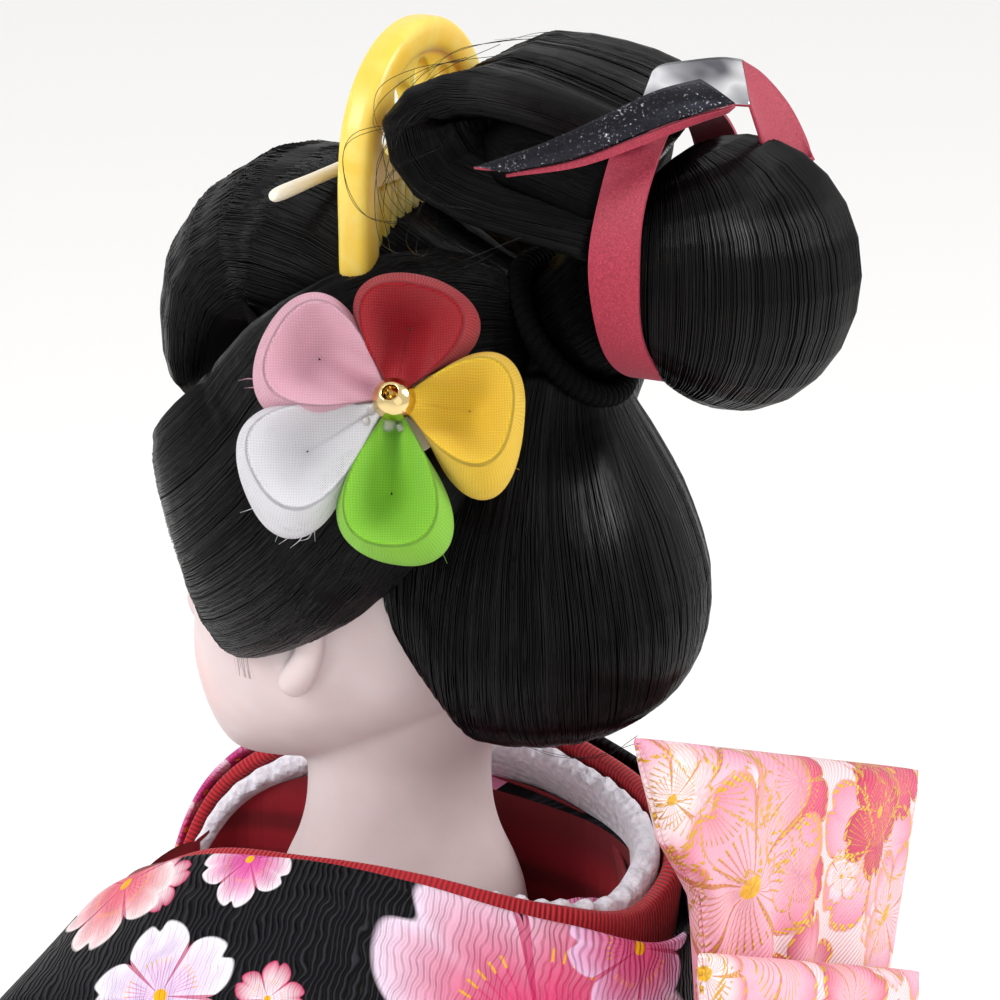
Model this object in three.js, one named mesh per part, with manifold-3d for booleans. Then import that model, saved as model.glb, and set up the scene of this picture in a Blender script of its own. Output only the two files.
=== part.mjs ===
// A standing doll in a kimono, with dressed hair, hair ornaments, an obi bow and a lacquered stand.
// Millimetres, +Z up. The doll faces -Y and its left hand is on +X. The origin is under the middle
// of the stand. Everything above the stand is measured from the middle of the doll's neck.
import * as THREE from "three";
import { mergeVertices } from "three/addons/utils/BufferGeometryUtils.js";
import Module from "manifold-3d";

const wasm = await Module();
wasm.setup();

// Clearance that pieces lying on each other keep.
const gap = 0.3;

// Stand
const boardWidth = 200;
const boardDepth = 164;
const boardHeight = 20;
const boardCorner = 9;
const boardBevel = 2.4;
const padRadius = 7;
const padHeight = 2;
const padInset = 20;
const wireRadius = 1.6;
const wireDepthInBoard = 12;

// Figure
const neckHeight = 278;
const shoulderHalfWidth = 44;
const waistHalfWidth = 36;
const waistFront = 34;
const waistBack = 29;
const waistSeamZ = -75;
const hipZ = -122;
const hemHalfWidth = 60;
const hemFront = 46;
const hemBack = 70;
const hemPadHeight = 5.4;
const foldCount = 12;
const foldDepth = 2.6;
const obiTop = -52;
const obiBottom = -97;
const obiThickness = 3.2;
const cordRadius = 1.5;
const scarfHeight = 5;
const coreTopHalfWidth = 17;
const armRadius = 4.8;
const wristRadius = 3.2;
const palmHalfWidth = 4;
const fingerRadius = 1.15;
const footLength = 37;
const footHalfWidth = 6.8;
const footHeight = 12;
const ankleHeight = 26;
const ankleRadius = 7;
const ankleY = -14;
const footSpread = 10.5;
const legRadius = 9;

// Neck and head
const neckRadius = 9.3;
const neckFootRadius = 12.6;
const neckFootZ = -9.5;
const neckBottomZ = -15;
const neckFootClearance = 0.6;
const pegRadius = 4;
const pegLength = 34;
const skullHalfWidth = 19.2;
const skullCentreY = -1.6;
const faceFrontY = -22;
const crownZ = 46.5;
const chinZ = 4.2;

// Hair tie and topknot
const tieAt = [0, 19, 51.5];
const tieSlope = 38;
const tieRingRadius = 7.7;
const tieCordRadius = 1.2;
const stemRadius = 6.1;
const stemLength = 15;
const loopHalfWidth = 12;
const loopThickness = 2.3;
const lobeCentre = [0, 35.9, 58.8];
const lobeRadii = [11.2, 10.9, 12.6];
const bandY = 28.9;
const bandWidth = 4.7;
const bandHalfWidth = 11.9;
const bandHalfHeight = 12.7;
const bandCentreZ = 61;
const paperThickness = 0.5;
const bowPaperWidth = 5.6;

// Comb
const combY = 2.2;
const combHalfWidth = 12.9;
const combTopZ = 79.6;
const combEndZ = 56.4;
const combCorner = 2.6;
const combRimThickness = 3.3;
const combRimWidth = 3.4;
const combPlateThickness = 1.7;
const toothCount = 12;
const toothWidth = 1.05;
const toothThickness = 1.2;
const toothTipZ = 52.4;
const toothRootZ = 65;

// Rod ornament and flower
const rodRadius = 0.62;
const rodLength = 36.4;
const rodY = -3;
const rodZ = 65.6;
const flowerAt = [24, 12.8, 49.8];
const flowerFacing = [0.84, 0.43, 0.33];
const beadRadius = 2;
const beadHoleRadius = 0.55;
const backingRadius = 5.2;
const backingThickness = 0.9;
const pinRadius = 0.7;
const pinLength = 11;

const v3 = (p) => new THREE.Vector3(...p);

// A closed surface over rings of points, with a fan over each end. Every ring has as many points, and
// each patch between two rings is split along its shorter diagonal.
function skin(rings) {
  const count = rings[0].length;
  const positions = [];
  const index = [];
  const middle = (ring) => ring.reduce((sum, p) => sum.add(p), new THREE.Vector3()).divideScalar(count);
  rings.forEach((ring) => ring.forEach((p) => positions.push(p.x, p.y, p.z)));
  for (let i = 0; i + 1 < rings.length; i++)
    for (let j = 0; j < count; j++) {
      const next = (j + 1) % count;
      const a = i * count + j;
      const b = i * count + next;
      const falling = rings[i][next].distanceTo(rings[i + 1][j]);
      const rising = rings[i][j].distanceTo(rings[i + 1][next]);
      if (falling <= rising + 1e-6) index.push(a, b, a + count, b, b + count, a + count);
      else index.push(a, b, b + count, a, b + count, a + count);
    }
  [0, rings.length - 1].forEach((i) => {
    const centre = positions.length / 3;
    const c = middle(rings[i]);
    positions.push(c.x, c.y, c.z);
    for (let j = 0; j < count; j++) {
      const a = i * count + j;
      const b = i * count + ((j + 1) % count);
      if (i === 0) index.push(centre, b, a);
      else index.push(centre, a, b);
    }
  });
  const geometry = new THREE.BufferGeometry();
  geometry.setAttribute("position", new THREE.Float32BufferAttribute(positions, 3));
  geometry.setIndex(index);
  return geometry;
}

// Signed volume of an indexed geometry, which tells whether its faces point out.
function signedVolume(geometry) {
  const p = geometry.attributes.position;
  const index = geometry.index.array;
  const a = new THREE.Vector3();
  const b = new THREE.Vector3();
  const c = new THREE.Vector3();
  let sum = 0;
  for (let i = 0; i < index.length; i += 3) {
    a.fromBufferAttribute(p, index[i]);
    b.fromBufferAttribute(p, index[i + 1]);
    c.fromBufferAttribute(p, index[i + 2]);
    sum += a.dot(b.cross(c));
  }
  return sum / 6;
}

// A three.js geometry as a solid that can be joined and cut.
function solid(geometry, place = new THREE.Matrix4()) {
  const bare = geometry.clone();
  bare.deleteAttribute("normal");
  bare.deleteAttribute("uv");
  bare.clearGroups();
  const merged = mergeVertices(bare, 1e-4);
  merged.applyMatrix4(place);
  const triVerts = new Uint32Array(merged.index.array);
  if (signedVolume(merged) < 0)
    for (let i = 0; i < triVerts.length; i += 3)
      [triVerts[i + 1], triVerts[i + 2]] = [triVerts[i + 2], triVerts[i + 1]];
  const vertProperties = new Float32Array(merged.attributes.position.array);
  return new wasm.Manifold(new wasm.Mesh({ numProp: 3, vertProperties, triVerts }));
}

function geometryOf(manifold) {
  const mesh = manifold.getMesh();
  const geometry = new THREE.BufferGeometry();
  geometry.setAttribute("position", new THREE.BufferAttribute(mesh.vertProperties.slice(), 3));
  geometry.setIndex(new THREE.BufferAttribute(mesh.triVerts.slice(), 1));
  geometry.computeVertexNormals();
  return geometry;
}

// The largest body left by a cut: slivers past a neighbour's edge are dropped.
function mainBody(manifold) {
  return manifold.decompose().reduce((best, body) => (body.volume() > best.volume() ? body : best));
}

const cut = (from, ...tools) => mainBody(tools.reduce((left, tool) => left.subtract(tool), from));
const join = (first, ...others) => others.reduce((sum, other) => sum.add(other), first);

const moved = (position) => new THREE.Matrix4().makeTranslation(...position);

// A place whose +Z axis points along a direction.
function facing(position, direction, up = [0, 0, 1]) {
  const z = v3(direction).normalize();
  const x = v3(up).cross(z).normalize();
  const y = z.clone().cross(x);
  return new THREE.Matrix4().makeBasis(x, y, z).setPosition(v3(position));
}

const signedPower = (value, power) => Math.sign(value) * Math.abs(value) ** power;

// Value of a smooth curve through a list of equally spaced numbers, at t from 0 to 1.
function smooth(list, t) {
  if (typeof list === "number") return list;
  const last = list.length - 1;
  const x = Math.min(Math.max(t, 0), 1) * last;
  const i = Math.min(Math.floor(x), last - 1);
  const f = x - i;
  const at = (k) => list[Math.min(Math.max(k, 0), last)];
  const [a, b, c, d] = [at(i - 1), at(i), at(i + 1), at(i + 2)];
  return b + 0.5 * f * (c - a + f * (2 * a - 5 * b + 4 * c - d + f * (3 * (b - c) + d - a)));
}

// A lock of hair or another long form: oval sections along a path. `side` is the direction of the
// section's width, `outer` and `inner` are its heights above and below the path, and the ends are
// rounded over the shares `startRound` and `endRound` of the path. `grow` makes a cutter.
function lock(form, ringCount, pointCount, grow = 0) {
  const { path, side, width, outer, inner, power = 2, startRound = 0.15, endRound = 0.15, bend = 0 } = form;
  const curve = new THREE.CatmullRomCurve3(path.map(v3), false, "centripetal");
  const sides = side.map(v3);
  const rings = [];
  for (let i = 0; i < ringCount; i++) {
    const t = 0.5 - 0.5 * Math.cos((Math.PI * (i + 0.35)) / (ringCount - 0.3));
    const centre = curve.getPoint(t);
    const tangent = curve.getTangent(t);
    centre.addScaledVector(tangent, grow * (2 * t - 1));
    const across = new THREE.Vector3(
      smooth(sides.map((s) => s.x), t),
      smooth(sides.map((s) => s.y), t),
      smooth(sides.map((s) => s.z), t),
    );
    across.addScaledVector(tangent, -across.dot(tangent)).normalize();
    const up = across.clone().cross(tangent);
    const near = startRound > 0 && t < startRound ? Math.sqrt(1 - (1 - t / startRound) ** 2) : 1;
    const far = endRound > 0 && t > 1 - endRound ? Math.sqrt(1 - (1 - (1 - t) / endRound) ** 2) : 1;
    const taper = near * far;
    const ring = [];
    for (let j = 0; j < pointCount; j++) {
      const angle = (2 * Math.PI * j) / pointCount;
      const c = signedPower(Math.cos(angle), 2 / power);
      const s = signedPower(Math.sin(angle), 2 / power);
      const a = smooth(width, t) * taper + grow;
      const b = smooth(s > 0 ? outer : inner, t) * taper + grow;
      const point = centre.clone().addScaledVector(across, a * c);
      ring.push(point.addScaledVector(up, b * s - smooth(bend, t) * c * c));
    }
    rings.push(ring);
  }
  return solid(skin(rings));
}

// An upright form of level sections, each {z, side, front, back, power, y} with its half width and
// how far it reaches to the front (-Y) and to the back (+Y).
function levels(sections, pointCount, grow = 0, shape = null) {
  const first = sections[0].z;
  const last = sections[sections.length - 1].z;
  const rings = sections.map(({ z, side, front, back, power = 2.2, y = 0 }) => {
    const ring = [];
    for (let j = 0; j < pointCount; j++) {
      const angle = (2 * Math.PI * j) / pointCount;
      const c = signedPower(Math.cos(angle), 2 / power);
      const s = signedPower(Math.sin(angle), 2 / power);
      const reach = s > 0 ? back : front;
      const p = new THREE.Vector3(c * (side + grow), y + s * (reach + grow), z);
      if (z === first) p.z -= grow * Math.sign(last - first);
      if (z === last) p.z += grow * Math.sign(last - first);
      if (shape) shape(p, angle);
      ring.push(p);
    }
    return ring;
  });
  return solid(skin(rings));
}

// Level sections between hand-set ones, spaced along a smooth curve.
function between(sections, count) {
  const keys = ["z", "side", "front", "back", "power", "y"];
  const lists = keys.map((key) => sections.map((s) => s[key] ?? (key === "power" ? 2.2 : 0)));
  return Array.from({ length: count }, (_, i) =>
    Object.fromEntries(keys.map((key, k) => [key, smooth(lists[k], i / (count - 1))])),
  );
}

const cylinder = (radius, length, sides, place) =>
  solid(new THREE.CylinderGeometry(radius, radius, length, sides).rotateX(Math.PI / 2), place);

const finishes = {
  lacquer: [0x0d0c0c, 0.15, 0],
  felt: [0x23352a, 0.95, 0],
  steel: [0x9b9da1, 0.35, 1],
  straw: [0xb99a5c, 0.9, 0],
  wood: [0xc9a878, 0.7, 0],
  gofun: [0xf3e7e4, 0.55, 0],
  hair: [0x0b0b0d, 0.4, 0],
  tie: [0x101012, 0.8, 0],
  red_paper: [0xb8324e, 0.5, 0],
  silver_paper: [0xc8c8cc, 0.25, 0.8],
  comb: [0xf2c64b, 0.3, 0],
  rod: [0xf2eee2, 0.5, 0],
  gold: [0xd9a441, 0.25, 1],
  backing: [0xefe6d2, 0.9, 0],
  petal_green: [0x8fd43a, 0.8, 0],
  petal_white: [0xf6f4fa, 0.8, 0],
  petal_pink: [0xf6bfd2, 0.8, 0],
  petal_red: [0xb30f22, 0.8, 0],
  petal_yellow: [0xf7c415, 0.8, 0],
  deep_red_silk: [0x8c1020, 0.85, 0],
  white_crepe: [0xf4f2f6, 0.85, 0],
  red_silk: [0xc01525, 0.8, 0],
  kimono: [0x17161a, 0.8, 0],
  brocade: [0xe9a6b8, 0.6, 0],
  cord: [0xe9dcae, 0.8, 0],
  sock: [0xf2f1ee, 0.9, 0],
};
const materials = Object.fromEntries(
  Object.entries(finishes).map(([name, [color, roughness, metalness]]) => [
    name,
    new THREE.MeshStandardMaterial({ color, roughness, metalness }),
  ]),
);

const model = new THREE.Group();
const stand = new THREE.Group();
const figure = new THREE.Group();
const boardTop = padHeight + gap + boardHeight;
figure.position.z = boardTop + neckHeight;
model.add(stand, figure);

function add(group, name, manifold, finish) {
  const mesh = new THREE.Mesh(geometryOf(manifold), materials[finish]);
  mesh.name = name;
  group.add(mesh);
}

// Head: skull, face and neck in one piece, with a bore for the peg.
const headSections = [
  { z: chinZ, side: 3.6, front: 3.4, back: 4.5, y: -14.2, power: 2 },
  { z: chinZ + 1.6, side: 7.6, front: 6.6, back: 8, y: -11.6 },
  { z: chinZ + 5.5, side: 12.6, front: 11.6, back: 12.4, y: -7.6 },
  { z: chinZ + 11, side: 16.4, front: 15.6, back: 15.8, y: -4.4 },
  { z: chinZ + 18, side: skullHalfWidth - 0.6, front: 17.6, back: 18.2, y: -2.4 },
  { z: chinZ + 25, side: skullHalfWidth, front: -faceFrontY + skullCentreY, back: 19, y: skullCentreY },
  { z: crownZ - 10, side: skullHalfWidth - 1.4, front: 18, back: 18.2, y: skullCentreY },
  { z: crownZ - 4, side: 14.6, front: 14.2, back: 15, y: skullCentreY },
  { z: crownZ - 1, side: 8.4, front: 8.2, back: 8.6, y: skullCentreY },
  { z: crownZ, side: 2.4, front: 2.4, back: 2.4, y: skullCentreY },
];
const skull = (grow = 0, rows = 12, points = 22) => levels(between(headSections, rows), points, grow);
const neckProfile = [
  [0, neckBottomZ],
  [neckFootRadius, neckBottomZ],
  [neckFootRadius, neckFootZ],
  [neckRadius + 2.4, neckFootZ + 3.2],
  [neckRadius + 0.8, neckFootZ + 6.6],
  [neckRadius, 0.6],
  [neckRadius - 0.1, 6],
  [neckRadius + 0.6, 14],
  [0, 14],
];
const neck = (grow = 0) =>
  solid(
    new THREE.LatheGeometry(
      neckProfile.map(([r, z]) => new THREE.Vector2(r ? r + grow : 0, z)),
      16,
    ).rotateX(Math.PI / 2),
  );
const nose = lock(
  {
    path: [[0, -18.6, 23.4], [0, -20.3, 20], [0, -21.1, 17.6], [0, -19.2, 16.2]],
    side: [[1, 0, 0], [1, 0, 0], [1, 0, 0], [1, 0, 0]],
    width: [1, 1.3, 1.8, 1.2],
    outer: [0.5, 0.7, 1.1, 0.6],
    inner: [1.5, 2, 2, 1.5],
  },
  7,
  8,
);
const lip = (z, width, height) =>
  lock(
    {
      path: [[-width, -17.4, z], [0, -18.5, z], [width, -17.4, z]],
      side: [[0, 0, -1], [0, 0, -1], [0, 0, -1]],
      width: [height * 0.5, height, height * 0.5],
      outer: [0.5, 0.9, 0.5],
      inner: [1, 1, 1],
      startRound: 0.3,
      endRound: 0.3,
    },
    6,
    6,
  );
const ear = (hand) =>
  lock(
    {
      path: [
        [hand * 16.2, -0.6, 14.6], [hand * 18.4, -0.4, 18], [hand * 19.8, 0.6, 23], [hand * 18.8, 0.6, 27],
      ],
      side: [[0, hand, 0], [0, hand, 0], [0, hand, 0], [0, hand, 0]],
      width: [2.1, 3.1, 4, 3.4],
      outer: [0.9, 1.3, 1.4, 1],
      inner: [2, 2.2, 2.4, 2],
      startRound: 0.35,
      endRound: 0.3,
    },
    6,
    6,
  );
const pegBoreTop = 5;
const head = cut(
  join(skull(), neck(), nose, lip(11.9, 2.5, 0.75), lip(10.6, 1.9, 0.85), ear(1), ear(-1)),
  cylinder(pegRadius + gap, 60, 14, moved([0, 0, pegBoreTop - 30])),
);
const peg = cylinder(pegRadius, pegLength, 14, moved([0, 0, pegBoreTop - gap - pegLength / 2]));

// Dressed hair. Each lock runs from its hairline to the tie.
const ahead = [1, 0, 0];
const tieAxis = [0, Math.cos((tieSlope * Math.PI) / 180), Math.sin((tieSlope * Math.PI) / 180)];
const frontLock = {
  path: [
    [0, -18.4, 40], [0, -19, 46.6], [0, -17, 55.4], [0, -11, 60.6],
    [0, -3.8, 59.6], [0, 4.6, 56], [0, 11.5, 53.4], [0, 17.4, 51.2],
  ],
  side: Array(8).fill(ahead),
  width: [11, 13.4, 14.4, 14.4, 13, 11, 8.6, 6.6],
  outer: [1.8, 4.4, 6, 5.8, 5.2, 3.4, 3.2, 3],
  inner: [2.5, 6, 10, 14, 14, 10, 7, 4.5],
  bend: [2, 2.5, 2.5, 2, 2, 2, 1, 0],
  power: 2.1,
  startRound: 0.1,
  endRound: 0.08,
};
const sideLock = (hand) => ({
  path: [
    [hand * 15.8, -10.8, 31], [hand * 18.6, -7.4, 33], [hand * 20, -1.8, 38.6],
    [hand * 17, 4.6, 46], [hand * 10.6, 10.4, 51.8], [hand * 4.6, 16.4, 52],
  ],
  side: [
    [0.2, hand * 0.5, hand * -0.84], [0.2, hand * 0.6, hand * -0.78], [0.3, hand * 0.66, hand * -0.7],
    [0.45, hand * 0.62, hand * -0.64], [0.5, hand * 0.5, hand * -0.7], [0.5, hand * 0.4, hand * -0.75],
  ],
  width: [12.4, 14, 15.2, 14.4, 9.4, 5.6],
  outer: [3.6, 5.4, 5.8, 5.2, 4.2, 3],
  inner: [3, 6, 8, 9, 7, 4],
  power: 2.5,
  startRound: 0.16,
  endRound: 0.08,
});
// The back hair hangs from the tie as a full sack and turns under at the nape. Its level sections
// rise towards the ears by `backHairTilt`.
const backHairTilt = 0.95;
const backHairSections = [
  { z: 12.2, side: 4, front: 4, back: 4, y: 17.2 },
  { z: 13.4, side: 12, front: 13, back: 9, y: 17 },
  { z: 17, side: 17.8, front: 17, back: 12.3, y: 17 },
  { z: 24, side: 20, front: 18, back: 13, y: 17.2 },
  { z: 32, side: 17.8, front: 17, back: 11.4, y: 16.8 },
  { z: 38.6, side: 14, front: 14, back: 8.8, y: 16.6 },
  { z: 44, side: 10, front: 8, back: 6.6, y: 16.4 },
  { z: 48.4, side: 7.6, front: 4, back: 5.4, y: 16.8 },
];
const backForm = (rows, points, grow = 0) =>
  levels(between(backHairSections, rows), points, grow, (p) => {
    p.z += backHairTilt * Math.max(0, 16 - p.y);
  });
const stemPlace = facing(tieAt, tieAxis, [1, 0, 0]);
const stem = (grow = 0) => {
  const from = v3(tieAt).addScaledVector(v3(tieAxis), stemLength / 2 - 4.5);
  return cylinder(stemRadius + grow, stemLength + 2 * grow, 12, facing(from.toArray(), tieAxis, [1, 0, 0]));
};
const tieRing = (grow = 0) =>
  solid(new THREE.TorusGeometry(tieRingRadius, tieCordRadius + grow, 5, 20), stemPlace);

// Places of the flower and of the rod through the front hair.
const flowerPlace = facing(flowerAt, flowerFacing);
const placed = (manifold, place) => manifold.transform(place.elements);
const backingFront = -1.75;
const backingForm = (grow = 0, proud = 0) =>
  cylinder(
    backingRadius + grow, backingThickness + 2 * grow + proud, 18,
    moved([0, 0, backingFront + (proud - backingThickness) / 2]),
  );
const pinTop = backingFront - backingThickness - gap;
const pinForm = (grow) =>
  cylinder(pinRadius + grow, pinLength + 2 * grow, 8, moved([0, 0, pinTop - pinLength / 2]));
const flowerRoom = placed(join(backingForm(gap, 12), pinForm(gap)), flowerPlace);
const rodForm = (grow) => {
  const shaft = new THREE.CapsuleGeometry(rodRadius + grow, rodLength - 2 * rodRadius, 2, 8);
  return solid(shaft.rotateZ(Math.PI / 2).translate(0, rodY, rodZ));
};

const skullCutter = skull(gap + 1.3, 8, 12);
const neckCutter = neck(gap + 0.5);
const earCutter = join(ear(1), ear(-1)); // the hair hangs over the ears' tops
const combSlot = solid(
  new THREE.BoxGeometry(2 * combHalfWidth + 1.4, combRimThickness + 2 * gap, 40),
  moved([0, combY, toothTipZ - gap + 20]),
);
const tieCutter = join(tieRing(gap), stem(gap));
const frontHair = cut(lock(frontLock, 12, 14), skullCutter, tieCutter, combSlot, rodForm(gap));
const frontCutter = lock(frontLock, 12, 14, gap);
const sideHair = (hand) =>
  cut(
    lock(sideLock(hand), 11, 14), skullCutter, frontCutter, tieCutter, combSlot, earCutter, flowerRoom,
    rodForm(gap),
  );
const sideCutters = [1, -1].map((hand) => lock(sideLock(hand), 11, 14, gap));
const backHair = cut(
  backForm(11, 18), skullCutter, neckCutter, frontCutter, ...sideCutters, tieCutter, earCutter,
);

add(figure, "head", head, "gofun");
add(figure, "neck_peg", peg, "wood");
add(figure, "front_hair", frontHair, "hair");
add(figure, "side_hair_left", sideHair(1), "hair");
add(figure, "side_hair_right", sideHair(-1), "hair");
add(figure, "back_hair", backHair, "hair");
add(figure, "topknot_stem", stem(), "hair");
add(figure, "hair_tie", tieRing(), "tie");

// A flat paper strip along a path; `across` gives the direction of its width at each point.
function strip(path, across, width, thickness, steps, grow = 0) {
  const curve = new THREE.CatmullRomCurve3(path.map(v3), false, "centripetal");
  const rings = Array.from({ length: steps + 1 }, (_, i) => {
    const t = i / steps;
    const tangent = curve.getTangent(t);
    const wide = new THREE.Vector3(...[0, 1, 2].map((k) => smooth(across.map((a) => a[k]), t)));
    wide.addScaledVector(tangent, -wide.dot(tangent)).normalize();
    const thick = wide.clone().cross(tangent);
    const centre = curve.getPoint(t).addScaledVector(tangent, grow * (2 * t - 1));
    return [[1, 1], [-1, 1], [-1, -1], [1, -1]].map(([a, b]) =>
      centre
        .clone()
        .addScaledVector(wide, a * (width / 2 + grow))
        .addScaledVector(thick, b * (thickness / 2 + grow)),
    );
  });
  return solid(skin(rings));
}
const bowTail = {
  path: [
    [13.2, 16.6, 70.6], [12.4, 18.6, 70.8], [10, 22.4, 72.6], [6, 26.4, 74.4], [1.6, 29.2, 75.3], [-3, 31.6, 75.6],
  ],
  across: [[0.81, 0.58, 0], [0.81, 0.58, 0], [0.75, 0.66, 0], [0.7, 0.7, 0], [0.6, 0.8, 0], [0.56, 0.82, 0]],
};
const bowLoop = {
  path: [[-2.4, 31.3, 75.4], [-5.4, 33.2, 75.4], [-7, 35.4, 73.4], [-7.3, 37.4, 70]],
  across: Array(4).fill([0.56, 0.82, 0.1]),
};
const bowForm = (grow) =>
  join(
    strip(bowTail.path, bowTail.across, bowPaperWidth, paperThickness, 12, grow),
    strip(bowLoop.path, bowLoop.across, bowPaperWidth, paperThickness, 8, grow),
  );

// Topknot: the hair leaves the tie along the stem, folds forward over itself as an open loop, and
// ends behind the band as a full lobe.
const loopPath = {
  path: [
    [0, bandY - 1.2, 69], [0, 23, 71.6], [0, 16.4, 73.4], [0, 10.2, 73],
    [0, 6.9, 70.8], [0, 9, 66.6], [0, 14.6, 64.2], [0, 21, 62.4], [0, bandY - 2.2, 61],
  ],
  side: Array(9).fill(ahead),
  width: [9, 11.4, loopHalfWidth, loopHalfWidth, loopHalfWidth - 0.2, loopHalfWidth - 0.6, 11, 9.6, 8],
  outer: [2.6, 2.4, loopThickness + 0.3, loopThickness + 0.6, loopThickness, loopThickness, 2.6, 3.2, 4],
  inner: [2.4, 1.9, 1.5, 1.3, 1.3, 1.3, 1.6, 2, 2.4],
  bend: [3.6, 4, 3.8, 3, 1.4, 0.6, 0.4, 0, 0],
  power: 2.3,
  startRound: 0.05,
  endRound: 0.05,
};
const lobe = (grow = 0, across = 16, rows = 10) =>
  solid(
    new THREE.SphereGeometry(1, across, rows)
      .rotateZ(Math.PI / 2)
      .scale(...lobeRadii.map((r) => r + grow))
      .translate(...lobeCentre),
  );
const loopSolid = (grow, rows, points) => lock(loopPath, rows, points, grow);

function ellipseBand(centre, halfWidth, halfHeight, width, thickness, sides) {
  const ring = (extra) =>
    Array.from({ length: sides }, (_, i) => {
      const angle = (2 * Math.PI * i) / sides;
      return [(halfWidth + extra) * Math.cos(angle), (halfHeight + extra) * Math.sin(angle)];
    });
  const shape = new THREE.Shape(ring(thickness).map(([x, y]) => new THREE.Vector2(x, y)));
  shape.holes.push(new THREE.Path(ring(0).map(([x, y]) => new THREE.Vector2(x, y))));
  const geometry = new THREE.ExtrudeGeometry(shape, { depth: width, bevelEnabled: false, steps: 1 });
  geometry.translate(0, 0, -width / 2);
  geometry.rotateX(Math.PI / 2);
  geometry.translate(...centre);
  return solid(geometry);
}
const bandInside = (grow) =>
  solid(
    new THREE.CylinderGeometry(1, 1, bandWidth + 2 * gap, 26)
      .scale(bandHalfWidth - gap + grow, 1, bandHalfHeight - gap + grow)
      .translate(0, bandY, bandCentreZ),
  );
const bandZone = solid(
  new THREE.BoxGeometry(60, bandWidth + 2 * gap, 60).translate(0, bandY, bandCentreZ),
);
const bandWaste = bandZone.subtract(bandInside(0));
// Inner strands that fill the loop between its two arms, short of its sides.
const loopCore = lock(
  {
    path: [[0, 9.6, 69.6], [0, 14, 69.2], [0, 20, 67.8], [0, bandY - 2.6, 65.8]],
    side: Array(4).fill(ahead),
    width: [7.4, 8.6, 8.4, 8],
    outer: [2.4, 3.6, 4, 4.4],
    inner: [2.4, 3.6, 4.2, 4.6],
    startRound: 0.35,
    endRound: 0.1,
  },
  4,
  8,
);
const loopHair = cut(join(loopSolid(0, 15, 10), loopCore), stem(gap), lobe(gap), bandWaste, bowForm(gap));
const lobeHair = cut(lobe(), stem(gap), bandWaste);
const band = ellipseBand([0, bandY, bandCentreZ], bandHalfWidth, bandHalfHeight, bandWidth, paperThickness, 26);

add(figure, "topknot_loop", loopHair, "hair");
add(figure, "topknot_lobe", lobeHair, "hair");
add(figure, "paper_band", band, "red_paper");

// Comb: a half-moon rim with end guards, a pierced plate inside it and a row of teeth.
const combArcZ = combTopZ - combHalfWidth;
function combOutline(radius, foot, corner = 0.01) {
  const shape = new THREE.Shape();
  shape.moveTo(-radius + corner, foot);
  shape.lineTo(radius - corner, foot);
  shape.lineTo(radius, foot + corner);
  shape.lineTo(radius, combArcZ);
  shape.absarc(0, combArcZ, radius, 0, Math.PI, false);
  shape.lineTo(-radius, foot + corner);
  shape.closePath();
  return shape;
}
function plate(shape, thickness, y, curveSegments) {
  const geometry = new THREE.ExtrudeGeometry(shape, { depth: thickness, bevelEnabled: false, curveSegments });
  geometry.translate(0, 0, -thickness / 2).rotateX(Math.PI / 2).translate(0, y, 0);
  return solid(geometry);
}
function makeComb() {
  const innerRadius = combHalfWidth - combRimWidth;
  const rimShape = combOutline(combHalfWidth, combEndZ, combCorner);
  const rim = plate(rimShape, combRimThickness, combY, 12).subtract(
    plate(combOutline(innerRadius, combEndZ - 5), combRimThickness + 1, combY, 12),
  );
  const panel = combOutline(innerRadius + 0.4, toothRootZ);
  const holeRing = innerRadius * 0.62;
  for (const degrees of [14, 52, 90, 128, 166]) {
    const turn = (degrees * Math.PI) / 180;
    const x = holeRing * Math.cos(turn);
    const z = combArcZ + 0.9 + holeRing * Math.sin(turn);
    const hole = new THREE.Path();
    hole.absellipse(x, z, 2.2, 1.5, 0, 2 * Math.PI, false, turn);
    panel.holes.push(hole);
  }
  const centre = new THREE.Path();
  centre.absarc(0, combArcZ + 0.9, 1.9, 0, 2 * Math.PI);
  panel.holes.push(centre);
  const pitch = (2 * innerRadius) / (toothCount + 1);
  const toothLength = toothRootZ - toothTipZ + 1;
  const teeth = Array.from({ length: toothCount }, (_, i) => {
    const tooth = new THREE.CylinderGeometry(toothWidth * 0.7, toothWidth * 0.4, toothLength, 4, 1);
    tooth.rotateY(Math.PI / 4).scale(1, 1, toothThickness / toothWidth).rotateX(Math.PI / 2);
    const x = -innerRadius + pitch * (i + 1);
    return solid(tooth, moved([x, combY, (toothRootZ + toothTipZ + 1) / 2]));
  });
  return join(rim, plate(panel, combPlateThickness, combY, 4), ...teeth);
}

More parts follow.
